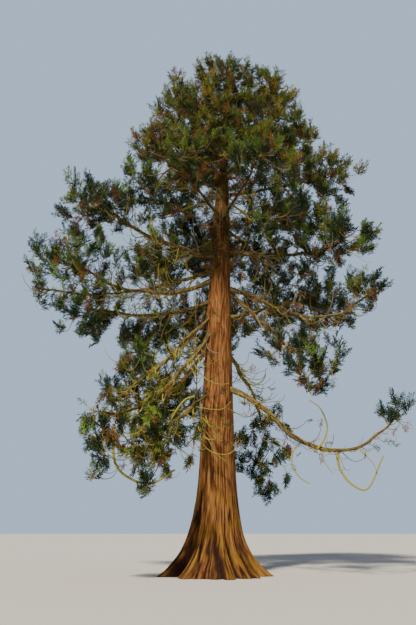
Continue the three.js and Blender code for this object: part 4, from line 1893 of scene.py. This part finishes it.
    def shoots_round(self, trunk: Trunk) -> None:
        """Grows short shoots with olive, painted-shade or dead sprays out of the upper trunk."""
        rng = self.rng
        tints = {Leaf.DEEP: 0.3, Leaf.OLIVE: 0.35, Leaf.BROWN: 0.25, Leaf.ORANGE: 0.1}
        for _ in range(self.shoots):
            root, edge, side = self._on_trunk(trunk, self.shoot_heights)
            way = unit(edge * 0.6 + side * rng.uniform(0.2, 1.0) + UP * rng.uniform(-0.8, 0.6))
            length, turn = rng.uniform(0.3, 0.75), rng.uniform(0.1, 0.4)
            shoot = Hook(root, way, length, self.shoot_radius, turn, 4).strand(rng)
            self.grown.twigs[self.tints.twig(root)].append(shoot)
            tint = self.tints.by_weight(tints)
            for index in (2, 3, 4):
                heading = unit(shoot.points[index] - shoot.points[index - 1] + rng.normal(size=3) * 0.35)
                self.grown.add_spray(tint, shoot.points[index], heading, self.shoot_sizes)


@dataclass
class Crown:
    """Grows the crown on from the limbs, mass by mass, with branches, twigs, sprays and cones."""

    trunk: Trunk
    limbs: list[Limb]
    seed: int = 2024
    branchlets: int = 4
    branchlet_radius: float = 0.009
    branchlet_taper: float = 0.55
    even_spots: tuple[float, ...] = (0.15, 0.45, 0.75, 1.0)
    odd_spots: tuple[float, ...] = (0.25, 0.65, 1.0)
    spray_sizes: tuple[float, float] = (0.75, 1.15)
    bow_share: float = 0.75
    cones_from: float = 15.0
    cone_shares: tuple[float, float] = (0.12, 0.04)
    feeder_margin: float = 0.9
    feeder_depth: float = -0.8
    feeder_every: int = 3
    trunk_feeders_from: float = 6.0
    trunk_feeders_below: float = 2.2
    trunk_feeder_gap: float = 0.35
    trunk_feeder_rise: float = 0.35
    trunk_feeder_part: float = 0.6
    trunk_feeder_radius: float = 0.4

    def __post_init__(self) -> None:
        """Reads the masses from the frame."""
        self.rng = np.random.default_rng(self.seed)
        names = sorted(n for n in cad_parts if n.endswith("_foliage"))
        self.masses = [Mass(n) for n in names]
        self.grown = Grown(self.rng)
        self.tints = Tints(self.rng)
        self.bare = BareTwigs(self.rng, self.tints, self.grown)

    def grow(self) -> None:
        """Fills every mass, and hangs the bare twigs."""
        plumes = Canopy(self.masses).plumes(self.rng)
        for mass in self.masses:
            self._grow_mass(mass, plumes[mass.name])
        for limb in self.limbs:
            self.bare.hooks_on(limb)
            self.bare.bows_on(limb)
        self.bare.hooks_round(self.trunk)
        self.bare.shoots_round(self.trunk)
        self.grown.branches[Wood.MOSS].extend(loop.strand() for loop in LOOPS)
        sprays = sum(len(sites.places) for sites in self.grown.sprays.values())
        log.info("plumes: %d, sprays: %d", sum(map(len, plumes.values())), sprays)

    def _grow_mass(self, mass: Mass, plumes: list[Plume]) -> None:
        """Grows the branches of one mass to its plumes, the nearest first, and fills the plumes."""
        feeders = self._feeders(mass)
        feet = np.array([p.foot for p in plumes])
        near = np.min(np.linalg.norm(feet[:, None] - feeders.places[None], axis=2), axis=1)
        growth = Growth(self.rng, feeders, mass.habit)
        for index in np.argsort(near):
            growth.reach(plumes[index])
        strands = growth.strands()
        for strand in strands:
            self.grown.branches[self.tints.branch(strand)].append(strand)
        self.bare.hooks_from(strands)
        for plume in plumes:
            self._fill(mass, plume)

    def _feeders(self, mass: Mass) -> Feeders:
        """Points on the limbs that feed a mass, or on the trunk beside it where none does."""
        places, ways, radii = [], [], []
        for limb in self.limbs:
            ahead = limb.directions()
            for index in range(len(limb.points) // 4, len(limb.points), self.feeder_every):
                place = limb.points[index]
                if mass.may_hold(place, self.feeder_margin) and mass.depth(place) > self.feeder_depth:
                    places.append(place)
                    ways.append(ahead[index])
                    radii.append(limb.radii[index])
        if places:
            return Feeders(np.array(places), np.array(ways), np.array(radii))
        return self._trunk_feeders(mass)

    def _trunk_feeders(self, mass: Mass) -> Feeders:
        """Points inside the trunk beside a mass, on the side that faces it."""
        low = max(mass.low[2] - self.trunk_feeders_below, self.trunk_feeders_from)
        z = np.arange(low, min(mass.high[2], self.trunk.height - 0.3), self.trunk_feeder_gap)
        edge = unit(mass.middle - np.array([self.trunk.axis_x(mass.middle[2]), 0.0, mass.middle[2]]))
        thick = self.trunk.radius(z)
        x = self.trunk.axis_x(z) + edge[0] * thick * self.trunk_feeder_part
        spots = np.stack([x, edge[1] * thick * self.trunk_feeder_part, z], axis=1)
        way = unit(edge + self.trunk_feeder_rise * UP)
        return Feeders(spots, np.tile(way, (len(z), 1)), thick * self.trunk_feeder_radius)

    def _fill(self, mass: Mass, plume: Plume) -> None:
        """Grows one plume: curved branchlets close together, with sprays along them."""
        main = self.tints.living(plume.out, plume.foot)
        is_bowed = mass.habit is Habit.WEEPING and plume.foot[0] < 0.0
        if is_bowed and self.rng.random() < self.bow_share:
            self.bare.bow(plume)
        for branchlet in range(self.branchlets):
            dead = self.tints.dead(mass, plume)
            self._grow_branchlet(plume, main, dead, self.odd_spots if branchlet % 2 else self.even_spots)

    def _grow_branchlet(
        self, plume: Plume, main: Leaf, dead: Leaf | None, spots: tuple[float, ...]
    ) -> None:
        """Grows one branchlet with its sprays, and sometimes a cone.

        Args:
            plume: the plume that it is in.
            main: the plume's own tint.
            dead: the tint of all its sprays if it is dead.
            spots: the parts of its length that sprays leave from.
        """
        rng, hangs = self.rng, plume.hangs
        start = unit(plume.lead + rng.normal(size=3) * (0.26 if hangs else 0.36))
        length = plume.reach * rng.uniform(0.4, 0.75)
        bend = UP * (-0.1 if hangs else 0.3)

        def at(part: float | np.ndarray) -> np.ndarray:
            """Places on the branchlet, by the part of its length."""
            return plume.foot + start * length * part + bend * length * part**2

        part = np.linspace(0.0, 1.0, 3)[:, None]
        points = at(part)
        radii = self.branchlet_radius * (1.0 - self.branchlet_taper * part[:, 0])
        self.grown.twigs[self.tints.twig(plume.foot)].append(Strand(points, radii))
        for spot in spots:
            along = unit(start + 2.0 * bend * spot)
            stray = rng.normal(size=3) * (0.45 if spot < 0.9 else 0.18)
            heading = unit(along - UP * 0.45 + stray * 0.6) if hangs else unit(along + stray + UP * 0.12)
            tint = dead or self.tints.spray(main, plume, spot)
            self.grown.add_spray(tint, at(spot), heading, self.spray_sizes)
        if rng.random() < self.cone_shares[0 if plume.foot[2] > self.cones_from else 1]:
            drop = unit(rng.normal(size=3) - UP * 0.8)
            self.grown.cones.add(points[1] - UP * 0.02, drop, rng.uniform(0.0, 6.0), rng.uniform(0.7, 1.0))


@dataclass(frozen=True)
class Studio:
    """A plain pale floor, soft light and the camera at the photograph's angle."""

    floor_radius: float = 190.0
    floor_sides: int = 96
    floor_below: float = 0.004
    floor_colour: Colour = (0.62, 0.61, 0.59)
    fill_colour: Colour = (0.72, 0.82, 1.0)
    fill_strength: float = 0.3
    seen_colour: Colour = (0.6, 0.77, 1.0)
    seen_strength: float = 0.8
    sun_colour: Colour = (1.0, 0.88, 0.7)
    sun_strength: float = 5.8
    sun_angle: float = 6.0
    sun_from_above: float = 44.0
    sun_from_left: float = 24.0
    eye: tuple[float, float, float] = (-0.39, -27.8, 1.9)
    tilt_up: float = 19.5
    lens: float = 35.0
    sensor: float = 36.0
    far: float = 400.0

    def floor(self) -> None:
        """Lays the floor."""
        turn = np.linspace(0.0, FULL_TURN, self.floor_sides, endpoint=False)
        rim = np.stack([np.cos(turn), np.sin(turn), np.zeros(self.floor_sides)], axis=1)
        rim = rim * self.floor_radius - UP * self.floor_below
        made = mesh_object("floor", rim, [list(range(self.floor_sides))])
        made.data.materials.append(PlainFinish("floor_pale", self.floor_colour, 0.9).material())

    def light(self) -> None:
        """Sets a warm, soft sun from the left behind the camera, and a surround that is paler to the eye."""
        world = bpy.data.worlds.new("surround")
        bpy.context.scene.world = world
        world.use_nodes = True
        nodes, links = world.node_tree.nodes, world.node_tree.links
        fill, seen = nodes["Background"], nodes.new("ShaderNodeBackground")
        fill.inputs["Color"].default_value = (*self.fill_colour, 1.0)
        fill.inputs["Strength"].default_value = self.fill_strength
        seen.inputs["Color"].default_value = (*self.seen_colour, 1.0)
        seen.inputs["Strength"].default_value = self.seen_strength
        rays, mix = nodes.new("ShaderNodeLightPath"), nodes.new("ShaderNodeMixShader")
        links.new(rays.outputs["Is Camera Ray"], mix.inputs[0])
        links.new(fill.outputs[0], mix.inputs[1])
        links.new(seen.outputs[0], mix.inputs[2])
        links.new(mix.outputs[0], nodes["World Output"].inputs["Surface"])
        sun = bpy.data.lights.new("sun", "SUN")
        sun.energy = self.sun_strength
        sun.angle = math.radians(self.sun_angle)
        sun.color = self.sun_colour
        holder = bpy.data.objects.new("sun", sun)
        holder.rotation_euler = (math.radians(self.sun_from_above), 0.0, math.radians(-self.sun_from_left))
        bpy.context.scene.collection.objects.link(holder)

    def camera(self) -> None:
        """Sets the camera where the photograph was taken."""
        data = bpy.data.cameras.new("camera")
        data.lens = self.lens
        data.sensor_width = self.sensor
        data.clip_end = self.far
        made = bpy.data.objects.new("camera", data)
        made.location = self.eye
        made.rotation_euler = (math.radians(90.0 + self.tilt_up), 0.0, 0.0)
        bpy.context.scene.collection.objects.link(made)
        bpy.context.scene.camera = made


TRUNK_BARK = BarkFinish(
    name="bark_trunk",
    furrow=(0.024, 0.009, 0.005),
    middle=(0.085, 0.03, 0.009),
    ridge=(0.18, 0.068, 0.018),
    pale=(0.29, 0.14, 0.05),
    low=(0.2, 0.112, 0.008),
    low_to=6.0,
    # Painted shade of the crown, with a greener tint: the trunk is darker and greener above high_from.
    high=(0.36, 0.46, 0.42),
    high_from=13.0,
    fineness=9.0,
    stretch=0.12,
    bump=0.55,
)
BOUGH_BARK = BarkFinish(
    name="bark_boughs",
    furrow=(0.03, 0.016, 0.007),
    middle=(0.064, 0.04, 0.016),
    ridge=(0.14, 0.1, 0.038),
    pale=(0.26, 0.21, 0.09),
    low=(0.2, 0.17, 0.034),
    low_to=16.0,
    # Painted shade of the crown: the boughs are darker above high_from.
    high=(0.6, 0.6, 0.6),
    high_from=14.0,
    fineness=14.0,
    stretch=0.8,
    bump=0.4,
)


def limbs_of(trunk: Trunk, rings_per_metre: int = 9, fewest: int = 20) -> list[Limb]:
    """The limbs, with the two lengths of the low right arm joined into one.

    Args:
        trunk: the trunk that they leave.
        rings_per_metre: how many rings each metre of a limb has.
        fewest: the least number of rings on a limb.

    Returns:
        One limb for each piece.
    """
    made = []
    for bough in boughs(trunk):
        points, radii = bough.path(trunk, max(int(bough.reach * bough.grows_on * rings_per_metre), fewest))
        nodes = bough.nodes
        if bough.name == "right_arm_inner":
            outer = Bough("right_arm_outer", 340, 5, 4.95, -10, 7.8, 6.3, 52, 0.08, 0.045, 1.1, start=4.86)
            more, thin = outer.path(trunk, 30)
            points, radii = np.vstack([points[:-1], more[1:]]), np.concatenate([radii[:-1], thin[1:]])
            nodes = [*nodes, "right_arm_outer_bough"]
        made.append(Limb(bough.name + "_limb", points, radii, nodes))
    return made


@dataclass
class CrownPieces:
    """Makes the crown's pieces, and says that they stand for all the masses of foliage."""

    crown: Crown
    branch_sides: int = 6
    twig_sides: int = 3
    spray_seeds: tuple[int, ...] = (3, 5, 8, 13)
    spray_picks: int = 17
    cone_picks: int = 19
    most_sprays: int = 3900
    cone_colour: Colour = (0.14, 0.085, 0.04)

    def _seat(self, made: bpy.types.Object, slot: Slot) -> None:
        """Seats one piece in place of the masses."""
        seat(made, slot, [mass.name for mass in self.crown.masses])

    def wood(self) -> None:
        """Makes the branches and twigs of each tint."""
        tubes, grown = TwigMaker(), self.crown.grown
        kinds = (("branches", grown.branches, self.branch_sides), ("twigs", grown.twigs, self.twig_sides))
        for wood in Wood:
            finish = wood.value.material()
            for kind, strands, sides in kinds:
                if strands[wood]:
                    name = f"{kind}_{wood.name.lower()}"
                    self._seat(tubes.make(name, strands[wood], sides, finish), Slot.BOUGH)

    def sprays(self) -> None:
        """Makes the sprays of each tint, in even lots."""
        patterns = [SprayPattern(seed).build(f"spray_{seed}") for seed in self.spray_seeds]
        scatter = Scatter("sprays_on_twigs", patterns, self.spray_picks)
        for leaf in Leaf:
            finish = leaf.value.material()
            sites = self.crown.grown.sprays[leaf]
            lots = max(math.ceil(len(sites.places) / self.most_sprays), 1)
            each = math.ceil(len(sites.places) / lots)
            for lot in range(lots):
                part = sites.part(lot * each, (lot + 1) * each)
                if part.places:
                    name = f"sprays_{leaf.name.lower()}_{lot + 1}"
                    self._seat(scatter.make(name, part, finish), Slot.FOLIAGE)
        scatter.put_away()

    def cones(self) -> None:
        """Makes the cones."""
        scatter = Scatter("cones_on_twigs", [ConePattern().build("cone")], self.cone_picks)
        brown = PlainFinish("cone_brown", self.cone_colour, 0.8).material()
        self._seat(scatter.make("cones", self.crown.grown.cones, brown), Slot.BOUGH)
        scatter.put_away()


def main() -> None:
    """Builds the tree around the frame, piece by piece."""
    studio = Studio()
    studio.floor()
    studio.light()
    studio.camera()
    fibres = fibre_group()

    trunk = Trunk()
    bark = trunk.build()
    bark.data.materials.append(TRUNK_BARK.material(fibres))
    seat(bark, Slot.TRUNK, ["trunk"])

    limbs = limbs_of(trunk)
    skin = BOUGH_BARK.material(fibres)
    for limb in limbs:
        made = limb.build()
        made.data.materials.append(skin)
        seat(made, Slot.BOUGH, limb.nodes)

    crown = Crown(trunk, limbs)
    crown.grow()
    pieces = CrownPieces(crown)
    pieces.wood()
    pieces.sprays()
    pieces.cones()

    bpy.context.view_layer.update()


if __name__ == "__main__":
    main()
